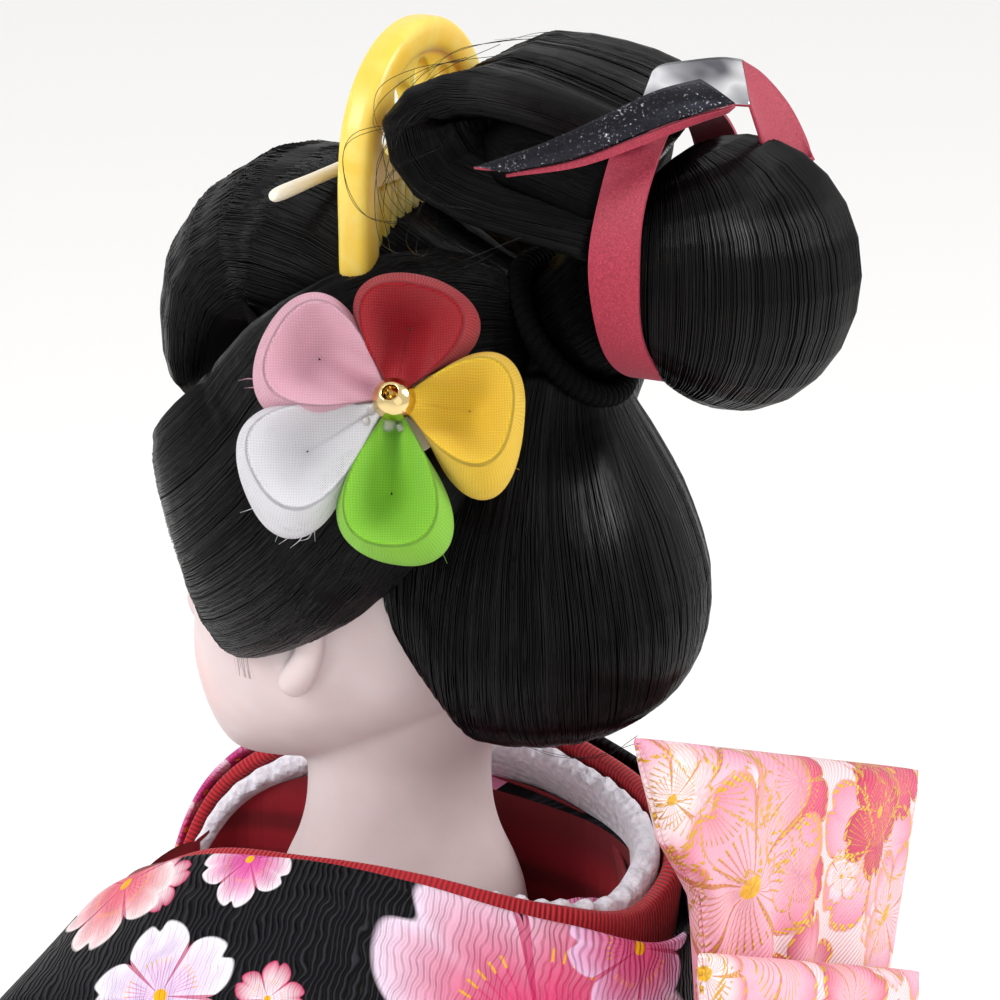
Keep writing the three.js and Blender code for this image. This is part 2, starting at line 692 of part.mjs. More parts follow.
// Flower: five folded cloth petals on a backing disc, with a bead in the middle and a wire behind.
const petals = [
  { name: "petal_green", angle: -92, length: 14.8, width: 4.9, lift: 1.2 },
  { name: "petal_white", angle: 210, length: 15.8, width: 5.4, lift: 0.6 },
  { name: "petal_pink", angle: 151, length: 13.6, width: 5.6, lift: 0.6 },
  { name: "petal_red", angle: 78, length: 11.6, width: 5.4, lift: 0.8 },
  { name: "petal_yellow", angle: -8, length: 11.8, width: 5.8, lift: 1 },
];
function petal({ angle, length, width, lift }, grow = 0) {
  const hollow = grow ? [0.9, 0.9, 0.9, 0.9, 0.9] : [0.6, -0.5, -0.9, -0.5, 0.6];
  const turn = (angle * Math.PI) / 180;
  const out = (share, z) => [Math.cos(turn) * length * share, Math.sin(turn) * length * share, z];
  return lock(
    {
      path: [out(0.12, 0.1), out(0.35, lift), out(0.62, lift + 0.6), out(0.85, lift + 0.5), out(1, lift)],
      side: Array(5).fill([Math.sin(turn), -Math.cos(turn), 0]),
      width: [1.4, width * 0.72, width, width * 0.92, width * 0.6],
      outer: hollow,
      inner: [0.9, 1.9, 2.5, 2.1, 1],
      bend: [-0.3, -0.9, -1.3, -1, -0.4],
      startRound: 0.12,
      endRound: 0.22,
    },
    9,
    10,
    grow,
  );
}
const beadRise = 2.7;
const bead = solid(new THREE.SphereGeometry(beadRadius, 12, 8)).subtract(
  cylinder(beadHoleRadius, 3 * beadRadius, 6, facing([0, 0, 0], [-0.25, 0.3, 1])),
);
add(figure, "comb", makeComb(), "comb");
add(figure, "hair_rod", rodForm(0), "rod");
add(figure, "paper_bow", bowForm(0), "silver_paper");
petals.forEach((form, i) => {
  const neighbours = petals.slice(0, i).map((other) => petal(other, gap + 0.1));
  const body = cut(petal(form), ...neighbours);
  add(figure, form.name, placed(body, flowerPlace), form.name);
});
add(figure, "flower_bead", placed(bead, flowerPlace.clone().multiply(moved([0, 0, beadRise]))), "gold");
add(figure, "flower_backing", placed(backingForm(), flowerPlace), "backing");
add(figure, "flower_pin", placed(pinForm(0), flowerPlace), "steel");

// Collars: four bands laid over each other round the neck, left over right in front. The route is the
// line where the white and the red collar meet, with the direction in which the bands hang from it.
const collarRoute = [
  { at: [-9.5, -33.6, -50], hang: [0.93, -0.1, -0.3] },
  { at: [1, -34.8, -36], hang: [0.86, -0.1, -0.5] },
  { at: [8.6, -31.6, -22], hang: [0.8, -0.25, -0.55] },
  { at: [12.2, -24.4, -11], hang: [0.76, -0.3, -0.6] },
  { at: [15, -12.6, -3.6], hang: [0.74, -0.16, -0.66] },
  { at: [16.8, 0, -0.6], hang: [0.72, 0, -0.7] },
  { at: [16.4, 12, -0.2], hang: [0.6, 0.12, -0.8] },
  { at: [12.6, 22.4, -2], hang: [0.32, 0.1, -0.95] },
  { at: [5, 27.4, -4], hang: [0.08, -0.12, -0.99] },
  { at: [-3, 27.6, -1.6], hang: [-0.1, -0.16, -0.98] },
  { at: [-11, 19.4, 1.4], hang: [-0.35, 0.1, -0.93] },
  { at: [-14.6, 8, 3], hang: [-0.6, 0.06, -0.8] },
  { at: [-15.8, -4, 2.4], hang: [-0.72, 0, -0.7] },
  { at: [-15, -17, -1.4], hang: [-0.74, -0.2, -0.64] },
  { at: [-12, -27, -8.4], hang: [-0.78, -0.3, -0.55] },
  { at: [-6.4, -30.4, -19], hang: [-0.84, -0.2, -0.5] },
  { at: [1.4, -29.6, -34], hang: [-0.9, -0.05, -0.42] },
  { at: [9.5, -28.4, -50], hang: [-0.94, 0, -0.33] },
];
// Layers from the neck outwards: how far each lies out from the route, and how far it reaches up and
// down along the hang. In front the layers lie flat, drawn together by `flatShare`.
const collarLayers = {
  under_collar: { from: -3, to: -2.3, top: 0.9, width: 11, finish: "deep_red_silk" },
  white_collar: { from: -2, to: -0.3, top: 0.2, width: 8.2, finish: "white_crepe" },
  red_collar: { from: 0.2, to: 2.2, top: 0.1, width: 10.5, finish: "red_silk" },
  kimono_collar: { from: 2.8, to: 4, top: 0, width: 16.5, finish: "kimono" },
};
const collarSteps = 26;
const kimonoDrop = [0, 0, 0, 0, 0, 0.3, 1.6, 3.4, 4.3, 3.6, 2, 1, 0.4, 0, 0, 0, 0, 0];
const flatShare = [0.42, 0.42, 0.5, 0.75, 1, 1, 1, 1, 1, 1, 1, 1, 1, 1, 0.75, 0.5, 0.42, 0.42];
const collarCurve = new THREE.CatmullRomCurve3(collarRoute.map(({ at }) => v3(at)), false, "centripetal");
function collarFrame(t) {
  const tangent = collarCurve.getTangent(t);
  const hang = new THREE.Vector3(...[0, 1, 2].map((k) => smooth(collarRoute.map((r) => r.hang[k]), t)));
  hang.addScaledVector(tangent, -hang.dot(tangent)).normalize();
  return { centre: collarCurve.getPoint(t), tangent, hang, out: hang.clone().cross(tangent) };
}
function collarBand({ from, to, top, width }, drop, steps, grow = 0) {
  const rings = Array.from({ length: steps + 1 }, (_, i) => {
    const t = i / steps;
    const { centre, tangent, hang, out } = collarFrame(t);
    const share = smooth(flatShare, t);
    const low = smooth(drop, t) + top;
    centre.addScaledVector(tangent, grow * (2 * t - 1));
    const corner = (a, b) => centre.clone().addScaledVector(hang, a).addScaledVector(out, b);
    const inner = from * share - grow;
    const outer = to * share + grow;
    return [
      corner(low - grow, (inner + outer) / 2),
      corner(low + 0.5 - grow, outer),
      corner(low + width + grow, outer),
      corner(low + width + grow, inner),
      corner(low + 0.5 - grow, inner),
    ];
  });
  return solid(skin(rings));
}
// The well inside the collars, down to the neck's foot.
function neckWell(steps) {
  const outline = Array.from({ length: steps }, (_, i) => {
    const { centre, out } = collarFrame(0.2 + (0.62 * i) / (steps - 1));
    return centre.addScaledVector(out, collarLayers.under_collar.from - gap);
  });
  const ring = (z) => outline.map((p) => new THREE.Vector3(p.x, p.y, z));
  return solid(skin([ring(neckBottomZ - gap), ring(12)]));
}

// Body core of bound straw, with the bore that the neck's peg turns in and bores for the leg wires.
const coreSections = [
  { z: neckBottomZ - gap, side: coreTopHalfWidth, front: 13, back: 14 },
  { z: -21, side: coreTopHalfWidth + 10, front: 15, back: 15 },
  { z: -30, side: coreTopHalfWidth + 12, front: 17, back: 16 },
  { z: -46, side: 25, front: 18, back: 16 },
  { z: waistSeamZ, side: 21, front: 18, back: 16 },
  { z: obiBottom, side: 23, front: 21, back: 17 },
  { z: hipZ, side: 24, front: 24, back: 18 },
];
const torso = (grow = 0) => levels(coreSections, 14, grow);
const pegBottom = pegBoreTop - gap - pegLength;
const wireTop = obiBottom;
const ground = -neckHeight;
const legX = (hand) => hand * footSpread;
const wireForm = (hand, grow = 0) => {
  const bottom = ground - wireDepthInBoard - grow;
  const length = wireTop + grow - bottom;
  return cylinder(wireRadius + grow, length, 8, moved([legX(hand), ankleY, bottom + length / 2]));
};
const bothWires = (grow) => join(wireForm(1, grow), wireForm(-1, grow));
const core = cut(
  torso(),
  cylinder(pegRadius + gap, 30, 14, moved([0, 0, pegBottom - gap + 15])),
  bothWires(gap),
);

// Arms of bound straw over wire, bent at the elbow, with a hand on each wrist.
const armForm = (hand, grow = 0) =>
  lock(
    {
      path: [
        [hand * 24, 0, -23], [hand * 38.5, 0, -27], [hand * 47.6, -3, -44],
        [hand * 51.6, -9.6, -66], [hand * 46, -24, -78], [hand * 30, -44, -84.2],
      ],
      side: [[0, 1, 0], [0, 1, 0], [0, 1, 0], [0, 1, -0.6], [0.4, 0.2, -1], [0.4, 0.2, -1]],
      width: [armRadius, armRadius, armRadius, armRadius, armRadius - 0.6, wristRadius + 0.8],
      outer: [armRadius, armRadius, armRadius, armRadius, armRadius - 0.6, wristRadius + 0.8],
      inner: [armRadius, armRadius, armRadius, armRadius, armRadius - 0.6, wristRadius + 0.8],
      startRound: 0,
      endRound: 0,
    },
    8,
    8,
    grow,
  );
const armCore = (hand) => cut(armForm(hand), torso(gap));
function handForm(hand, grow = 0) {
  const mirror = ([x, y, z]) => [hand * x, y, z];
  const limb = (path, width, thick, rings, points) =>
    lock(
      {
        path: path.map(mirror),
        side: path.map(() => [0, 0.2, 1]),
        width,
        outer: thick,
        inner: thick,
        startRound: 0.05,
        endRound: 0.25,
      },
      rings,
      points,
      grow,
    );
  const palm = limb(
    [[32.4, -41.2, -83.6], [26.6, -47.6, -85.2], [22, -51.6, -86.6], [18.4, -53.8, -87.8]],
    [wristRadius - 0.5, wristRadius - 0.2, palmHalfWidth, palmHalfWidth - 0.4],
    [2.2, 2.1, 1.9, 1.5],
    6,
    8,
  );
  const finger = (i) => {
    const z = -84.9 - i * 1.95;
    const reach = [9.4, 10.6, 10, 8.2][i];
    return limb(
      [[20.4, -52.9, z], [20.4 - reach * 0.55, -55.2, z - 1.1], [20.4 - reach, -55.4, z - 2.2]],
      [fingerRadius, fingerRadius, fingerRadius - 0.3],
      [fingerRadius, fingerRadius, fingerRadius - 0.3],
      4,
      5,
    );
  };
  const thumb = limb(
    [[25.6, -48.6, -82.8], [22, -52.8, -81.4], [17.6, -55.4, -82.2]],
    [1.7, 1.4, 1],
    [1.7, 1.4, 1],
    4,
    6,
  );
  return join(palm, finger(0), finger(1), finger(2), finger(3), thumb);
}

// Kimono: padded bodice and skirt that meet under the obi, on one set of waist sections.
const waistSection = (z, extra = 0) => ({
  z,
  side: waistHalfWidth + extra,
  front: waistFront + extra,
  back: waistBack + extra,
});
const bodiceSections = [
  { z: -3, side: 18, front: 20, back: 22, y: 3 },
  { z: -8, side: 27, front: 26, back: 26.4 },
  { z: -14, side: shoulderHalfWidth - 8, front: 29, back: 26.6 },
  { z: -22, side: shoulderHalfWidth, front: 31.6, back: 26.4 },
  { z: -36, side: shoulderHalfWidth - 2, front: 33, back: 27 },
  waistSection(obiTop),
  waistSection(waistSeamZ + gap / 2),
];
const bodiceForm = (grow = 0, points = 24) => levels(bodiceSections, points, grow);
const belowHip = (share) => hipZ + share * (ground - hipZ);
const skirtSections = [
  waistSection(waistSeamZ - gap / 2),
  waistSection(obiBottom),
  { z: hipZ, side: waistHalfWidth + 2.6, front: waistFront + 3, back: waistBack + 5 },
  { z: belowHip(0.22), side: waistHalfWidth + 5, front: waistFront + 6, back: waistBack + 10 },
  { z: belowHip(0.47), side: hemHalfWidth - 17, front: hemFront - 4.4, back: waistBack + 15 },
  { z: belowHip(0.81), side: hemHalfWidth - 8, front: hemFront - 1.6, back: hemBack - 11 },
  { z: belowHip(0.91), side: hemHalfWidth - 2.5, front: hemFront - 0.4, back: hemBack - 3 },
  { z: ground + hemPadHeight + 2 * gap, side: hemHalfWidth, front: hemFront, back: hemBack },
];
const foldPoints = 4 * foldCount;
const foldStart = obiBottom - 8;
// Soft upright folds that deepen towards the hem, with the front of the skirt left smoother.
function skirtFold(p, angle) {
  const deep = Math.min(Math.max((foldStart - p.z) / (foldStart - ground), 0), 1);
  const front = 0.5 + 0.5 * Math.sin(angle);
  const wave = Math.cos(foldCount * angle) + 0.35 * Math.sin(5 * angle + 1.3);
  const reach = Math.hypot(p.x, p.y);
  const scale = 1 + (foldDepth * deep * (0.35 + 0.65 * front) * wave) / reach;
  p.x *= scale;
  p.y *= scale;
}
const skirtForm = (grow = 0) => levels(skirtSections, foldPoints, grow, skirtFold);
const hemSections = [
  { z: ground + hemPadHeight + gap, side: hemHalfWidth - 0.6, front: hemFront - 0.6, back: hemBack - 0.6 },
  { z: ground + hemPadHeight * 0.55, side: hemHalfWidth + 1.6, front: hemFront + 1.6, back: hemBack + 1.6 },
  { z: ground + gap, side: hemHalfWidth - 0.8, front: hemFront - 0.8, back: hemBack - 0.8 },
];

// Feet in split-toed socks, standing on the board, with the leg above each.
const sockForm = (hand, grow = 0) => {
  const x = legX(hand);
  const toeY = ankleY + 11 - footLength;
  const foot = lock(
    {
      path: [
        [x, ankleY + 10, ground + 5], [x, ankleY, ground + 6.6],
        [x + hand * 0.6, (ankleY + toeY) / 2, ground + 6], [x + hand * 1.2, toeY + 2, ground + 4.4],
      ],
      side: Array(4).fill(ahead),
      width: [footHalfWidth - 1.4, footHalfWidth - 0.6, footHalfWidth, footHalfWidth - 0.6],
      outer: [footHeight - 6, footHeight - 4, footHeight - 6, footHeight - 8],
      inner: [8, 8, 8, 8],
      power: 2.3,
      endRound: 0.2,
    },
    7,
    8,
    grow,
  );
  const ankle = cylinder(
    ankleRadius + grow, ankleHeight - 6 + 2 * grow, 8, moved([x, ankleY, ground + 6 + (ankleHeight - 6) / 2]),
  );
  const below = solid(new THREE.BoxGeometry(80, 80, 20), moved([x, ankleY, ground + gap - grow - 10]));
  return mainBody(join(foot, ankle).subtract(below));
};
const toeSplit = (hand) =>
  solid(
    new THREE.BoxGeometry(0.8, 8, 9),
    moved([legX(hand) - hand * 1.6, ankleY + 11 - footLength + 3, ground + gap + 4.4]),
  );
const sock = (hand) => cut(sockForm(hand), wireForm(hand, gap), toeSplit(hand));
const legForm = (hand, grow = 0) => {
  const bottom = ground + ankleHeight + gap - grow;
  const top = hipZ - gap + grow;
  return cylinder(legRadius + grow, top - bottom, 8, moved([legX(hand), ankleY, (top + bottom) / 2]));
};

// Long sleeves: upright slices along a route from the shoulder round the elbow to the wrist, each from
// its top edge to its lower edge. Behind the shoulder seam the pouch hangs free of the body.
const sleeveRoute = [[37, 3], [44.5, 2], [50, -2], [52.6, -9], [50.4, -20], [43.4, -31.5], [35.5, -40.5]];
const sleeveTop = [-15.5, -18, -22.5, -56, -68, -73.5, -75];
const sleeveBottom = [-45, -48, -150, -196, -203, -206, -204];
const sleeveHalf = [8, 8.4, 8.4, 8.4, 8, 7.4, 7];
const sleeveSlice = [
  [0, 1], [0.66, 0.98], [1, 0.93], [0.96, 0.8], [0.68, 0.5], [0.52, 0.24], [0.42, 0.04],
  [0, 0], [-0.42, 0.04], [-0.52, 0.24], [-0.68, 0.5], [-0.96, 0.8], [-1, 0.93], [-0.66, 0.98],
];
function sleeveForm(hand, { inset = 0, from = 0, to = 1, past = 0, steps = 8 } = {}) {
  const route = new THREE.CatmullRomCurve3(
    sleeveRoute.map(([x, y]) => new THREE.Vector3(hand * x, y, 0)),
    false,
    "centripetal",
  );
  const rings = Array.from({ length: steps + 1 }, (_, i) => {
    const t = from + ((to - from) * i) / steps;
    const tangent = route.getTangent(t);
    const across = new THREE.Vector3(tangent.y, -tangent.x, 0);
    const centre = route.getPoint(t);
    if (i === steps) centre.addScaledVector(tangent, past);
    const top = smooth(sleeveTop, t) - inset;
    const bottom = smooth(sleeveBottom, t) + inset;
    const half = smooth(sleeveHalf, t) - inset;
    return sleeveSlice.map(([a, b]) => {
      const drop = 1 - b;
      const fold = 1.5 * drop * Math.sin(9 * t + 2.4 * drop) + 0.7 * drop * Math.sin(23 * t + 1);
      const p = centre.clone().addScaledVector(across, a * half + fold);
      p.z = bottom + (top - bottom) * b;
      return p;
    });
  });
  return solid(skin(rings));
}
const cuffInset = 1.5;
const cuffProud = 1.6;
const cuffStart = 0.9;

// Obi: a stiff band round the waist, a scarf along its upper edge and a cord round its middle. The scarf
// and the cord start and end, in degrees from +X, under the knot.
const cordStart = 118;
const cordEnd = 422;
const waistPower = 2.2;
const obiForm = (grow = 0) =>
  levels([waistSection(obiTop, obiThickness + gap), waistSection(obiBottom, obiThickness + gap)], 32, grow);
const obiHole = levels([waistSection(obiTop + 1, gap), waistSection(obiBottom - 1, gap)], 32);
function aroundWaist(z, out, steps) {
  return Array.from({ length: steps + 1 }, (_, i) => {
    const angle = ((cordStart + ((cordEnd - cordStart) * i) / steps) * Math.PI) / 180;
    const c = signedPower(Math.cos(angle), 2 / waistPower);
    const s = signedPower(Math.sin(angle), 2 / waistPower);
    const reach = s > 0 ? waistBack : waistFront;
    return [c * (waistHalfWidth + out), s * (reach + out), z];
  });
}
function waistCord(z, out, radius, height, steps, points, grow = 0) {
  const path = aroundWaist(z, out, steps);
  const curve = new THREE.CatmullRomCurve3(path.map(v3), false, "centripetal");
  const rings = path.map((_, i) => {
    const t = i / steps;
    const tangent = curve.getTangent(t);
    const away = new THREE.Vector3(tangent.y, -tangent.x, 0).normalize();
    return Array.from({ length: points }, (_, j) => {
      const angle = (2 * Math.PI * j) / points;
      return curve
        .getPoint(t)
        .addScaledVector(away, Math.cos(angle) * (radius + grow))
        .add(new THREE.Vector3(0, 0, Math.sin(angle) * (height + grow)));
    });
  });
  return solid(skin(rings));
}
const waistCordZ = (obiTop + obiBottom) / 2;
const waistCordOut = obiThickness + 2 * gap + cordRadius;
const cordKnotY = -waistFront - waistCordOut - 0.6;
const cordKnot = lock(
  {
    path: [[-4.2, cordKnotY, waistCordZ], [0, cordKnotY - 1, waistCordZ], [4.2, cordKnotY, waistCordZ]],
    side: Array(3).fill([0, 0, 1]),
    width: [1.8, 3, 1.8],
    outer: [1.6, 2.2, 1.6],
    inner: [1.6, 2.2, 1.6],
    startRound: 0.3,
    endRound: 0.3,
  },
  7,
  8,
);
const scarfZ = obiTop + scarfHeight / 2 + gap;
const scarfOut = 2.2 + gap;

// Bow: two standing wings, each of a long and a short layer gathered in pleats under the knot.
const knotCentre = [0, 45, -64];
const wingLayers = [
  { edge: [-3, 40.2, 10.8], half: [26, -1, 10.3], rootHalf: 11, thickness: 5.4 },
  { edge: [1, 45.4, -8.2], half: [24, 0, 10.5], rootHalf: 12, thickness: 4.6 },
];
const wingPleats = 4;
function wingLayer({ edge, half, rootHalf, thickness }, sign, drop) {
  const steps = 3;
  const across = 9;
  const root = v3(knotCentre);
  root.y = edge[1] - 1;
  const end = v3(edge);
  if (sign < 0) end.set(-edge[0], edge[1] + drop, 2 * knotCentre[2] - edge[2] + 2);
  const halfEnd = v3(half);
  const rings = Array.from({ length: steps + 1 }, (_, i) => {
    const t = i / steps;
    const centre = root.clone().lerp(end, t);
    const ease = t ** 0.7;
    const wide = new THREE.Vector3(rootHalf, 0, 0).lerp(halfEnd, ease);
    const face = (u, side) => {
      const pleat = 1.3 * (1 - 0.75 * t) * Math.cos(wingPleats * Math.PI * u);
      const thick = thickness / 2 + (side > 0 ? pleat : 0) - 0.9 * u ** 6;
      return centre.clone().addScaledVector(wide, u).add(new THREE.Vector3(0, side * thick, 0));
    };
    const us = Array.from({ length: across }, (_, j) => -1 + (2 * j) / (across - 1));
    const back = us.filter((_, j) => j % 2 === 0).reverse();
    return [...us.map((u) => face(u, 1)), ...back.map((u) => face(u, -1))];
  });
  return solid(skin(rings));
}
const knotForm = (grow = 0) =>
  lock(
    {
      path: [[-15, 40.5, -66.5], [-11, 45.4, -65.6], [0, 47.6, -64], [11, 45.4, -62.4], [15, 40.5, -61.5]],
      side: Array(5).fill([0.1, 0, 1]),
      width: [7, 8.6, 9.4, 8.6, 7],
      outer: [4, 4.6, 5, 4.6, 4],
      inner: [4, 8, 18, 8, 4],
      power: 2.6,
      startRound: 0.12,
      endRound: 0.12,
    },
    10,
    12,
    grow,
  );

// Stand: a lacquered board with a moulded edge, on four felt pads.
function boardForm() {
  const w = boardWidth / 2 - boardBevel;
  const d = boardDepth / 2 - boardBevel;
  const r = boardCorner - boardBevel;
  const outline = new THREE.Shape();
  outline.moveTo(-w + r, -d);
  outline.lineTo(w - r, -d);
  outline.absarc(w - r, -d + r, r, -Math.PI / 2, 0);
  outline.lineTo(w, d - r);
  outline.absarc(w - r, d - r, r, 0, Math.PI / 2);
  outline.lineTo(-w + r, d);
  outline.absarc(-w + r, d - r, r, Math.PI / 2, Math.PI);
  outline.lineTo(-w, -d + r);
  outline.absarc(-w + r, -d + r, r, Math.PI, 1.5 * Math.PI);
  const geometry = new THREE.ExtrudeGeometry(outline, {
    depth: boardHeight - 2 * boardBevel,
    bevelThickness: boardBevel,
    bevelSize: boardBevel,
    bevelSegments: 1,
    curveSegments: 3,
  });
  return solid(geometry, moved([0, 0, padHeight + gap + boardBevel]));
}
const figureUp = new THREE.Matrix4().makeTranslation(0, 0, boardTop + neckHeight);
const board = cut(boardForm(), placed(bothWires(gap), figureUp));
const padX = boardWidth / 2 - padInset;
const padY = boardDepth / 2 - padInset;
const padPlaces = [[-padX, -padY], [padX, -padY], [padX, padY], [-padX, padY]];

add(stand, "base_board", board, "lacquer");
padPlaces.forEach(([x, y], i) => {
  add(stand, `felt_pad_${i + 1}`, cylinder(padRadius, padHeight, 16, moved([x, y, padHeight / 2])), "felt");
});

const layerSolids = Object.fromEntries(
  Object.entries(collarLayers).map(([name, layer]) => [
    name,
    cut(collarBand(layer, name === "kimono_collar" ? kimonoDrop : [0, 0], collarSteps), obiForm(gap)),
  ]),
);
const collarCutter = collarBand(
  { from: collarLayers.under_collar.from, to: collarLayers.kimono_collar.to, top: -0.5, width: 21.5 },
  [0, 0], collarSteps, gap + 0.05,
);
const wingLower = cut(join(...wingLayers.map((layer) => wingLayer(layer, -1, 5))), knotForm(gap));
const wingUpper = cut(join(...wingLayers.map((layer) => wingLayer(layer, 1, 0))), knotForm(gap));
const obiKnot = cut(knotForm(), obiForm(gap));
const bodice = cut(
  bodiceForm(), torso(gap), collarCutter, neckWell(14), armForm(1, gap), armForm(-1, gap),
  cylinder(neckFootRadius + neckFootClearance, 40, 14, moved([0, 0, neckBottomZ + 20 - gap])),
);
const skirt = cut(
  skirtForm(), torso(gap), legForm(1, gap), legForm(-1, gap), sockForm(1, gap), sockForm(-1, gap),
);
const hem = cut(levels(hemSections, foldPoints, 0, skirtFold), sockForm(1, gap), sockForm(-1, gap));
const waistband = cut(obiForm(), obiHole);
const scarfForm = waistCord(scarfZ, scarfOut, scarfOut - gap, scarfHeight / 2, 20, 6);
const scarf = cut(scarfForm, bodiceForm(gap), obiForm(gap), collarCutter);
const waistCordSolid = join(waistCord(waistCordZ, waistCordOut, cordRadius, cordRadius, 19, 5), cordKnot);

add(figure, "body_core", core, "straw");
for (const [side, hand] of [["left", 1], ["right", -1]]) {
  const arm = cut(armCore(hand), handForm(hand, gap));
  const cuffHole = sleeveForm(hand, { inset: cuffInset - gap, from: cuffStart - 0.004, past: 1, steps: 2 });
  const cuff = sleeveForm(hand, { inset: cuffInset, from: cuffStart, past: cuffProud, steps: 2 });
  const sleeve = cut(
    sleeveForm(hand), bodiceForm(gap), armForm(hand, gap), handForm(hand, gap), cuffHole, collarCutter,
  );
  add(figure, `leg_wire_${side}`, wireForm(hand), "steel");
  add(figure, `sock_${side}`, sock(hand), "sock");
  add(figure, `leg_${side}`, cut(legForm(hand), wireForm(hand, gap)), "straw");
  add(figure, `arm_core_${side}`, arm, "straw");
  add(figure, `hand_${side}`, handForm(hand), "gofun");
  add(figure, `sleeve_${side}`, sleeve, "kimono");
  add(figure, `under_sleeve_${side}`, cut(cuff, armForm(hand, gap), handForm(hand, gap)), "deep_red_silk");
}
for (const [name, layer] of Object.entries(collarLayers)) {
  add(figure, name, layerSolids[name], layer.finish);
}
add(figure, "kimono_bodice", bodice, "kimono");
add(figure, "kimono_skirt", skirt, "kimono");
add(figure, "hem_padding", hem, "red_silk");
add(figure, "obi_band", waistband, "brocade");
add(figure, "obi_scarf", scarf, "red_silk");
add(figure, "obi_cord", waistCordSolid, "cord");
add(figure, "obi_wing_upper", wingUpper, "brocade");
add(figure, "obi_wing_lower", wingLower, "brocade");
add(figure, "obi_knot", obiKnot, "brocade");

export default model;
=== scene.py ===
# A standing doll in a crepe kimono: dressed hair, cloth flower, comb and paper bow, on a lacquered board
import math
import random
from functools import partial

import bpy
import numpy as np
from mathutils import Matrix, Vector
from mathutils.bvhtree import BVHTree


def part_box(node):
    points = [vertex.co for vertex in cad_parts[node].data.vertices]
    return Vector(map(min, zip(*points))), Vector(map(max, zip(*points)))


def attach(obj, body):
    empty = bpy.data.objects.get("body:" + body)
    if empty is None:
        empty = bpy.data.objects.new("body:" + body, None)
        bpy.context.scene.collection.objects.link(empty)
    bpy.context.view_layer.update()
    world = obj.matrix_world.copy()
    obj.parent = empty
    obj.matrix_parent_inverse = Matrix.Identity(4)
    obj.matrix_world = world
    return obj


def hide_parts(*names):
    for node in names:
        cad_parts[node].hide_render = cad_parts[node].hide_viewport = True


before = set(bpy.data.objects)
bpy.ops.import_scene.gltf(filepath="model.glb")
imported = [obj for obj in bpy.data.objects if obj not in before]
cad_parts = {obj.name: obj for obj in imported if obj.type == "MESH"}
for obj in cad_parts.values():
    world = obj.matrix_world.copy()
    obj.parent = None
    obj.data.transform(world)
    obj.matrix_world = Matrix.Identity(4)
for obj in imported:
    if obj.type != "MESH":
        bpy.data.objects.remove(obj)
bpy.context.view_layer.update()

mm = 0.001
pegTop = 4.7  # the neck peg's top over the neck's middle, mm
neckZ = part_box("neck_peg")[1].z / mm - pegTop
print("frame loaded, the neck's middle is at", round(neckZ, 2), "mm")


# Points in mm from the neck's middle become metres in the frame.
def placed(points):
    return (np.asarray(points, float) + (0, 0, neckZ)) * mm


def unit(v):
    v = np.asarray(v, float)
    return v / np.maximum(np.linalg.norm(v, axis=-1, keepdims=True), 1e-9)


# A centripetal curve through the points, at shares of its spans.
def alongCurve(points, shares):
    p = np.asarray(points, float)
    last = len(p) - 1
    p = np.vstack([2 * p[0] - p[1], p, 2 * p[-1] - p[-2]])
    x = np.clip(shares, 0, 1) * last
    i = np.minimum(x.astype(int), last - 1)
    w = (x - i)[:, None]
    p0, p1, p2, p3 = p[i], p[i + 1], p[i + 2], p[i + 3]
    spans = ((p0, p1), (p1, p2), (p2, p3))
    d0, d1, d2 = (np.maximum(np.linalg.norm(b - a, axis=1) ** 0.5, 1e-4)[:, None] for a, b in spans)
    t1 = ((p1 - p0) / d0 - (p2 - p0) / (d0 + d1) + (p2 - p1) / d1) * d1
    t2 = ((p2 - p1) / d1 - (p3 - p1) / (d1 + d2) + (p3 - p2) / d2) * d1
    return (2 * p1 - 2 * p2 + t1 + t2) * w**3 + (3 * p2 - 3 * p1 - 2 * t1 - t2) * w**2 + t1 * w + p1


# A smooth curve through equally spaced values.
def alongList(values, shares):
    v = np.asarray(values, float)
    if v.ndim == 0:
        return np.full(len(shares), float(v))
    last = len(v) - 1
    x = np.clip(shares, 0, 1) * last
    i = np.minimum(x.astype(int), last - 1)
    f = x - i
    if v.ndim > 1:
        f = f[:, None]
    a, b, c, d = (v[np.clip(i + k, 0, last)] for k in (-1, 0, 1, 2))
    return b + 0.5 * f * (c - a + f * (2 * a - 5 * b + 4 * c - d + f * (3 * (b - c) + d - a)))


def tangents(points, shares):
    return unit(alongCurve(points, shares + 1e-4) - alongCurve(points, shares - 1e-4))


def roundPower(value, power):
    return np.sign(value) * np.abs(value) ** power


def turns(count):
    return 2 * np.pi * np.arange(count) / count


# A circle's cosine and sine, squared up for a power over 2
def oval(angle, power):
    return roundPower(np.cos(angle), 2 / power), roundPower(np.sin(angle), 2 / power)


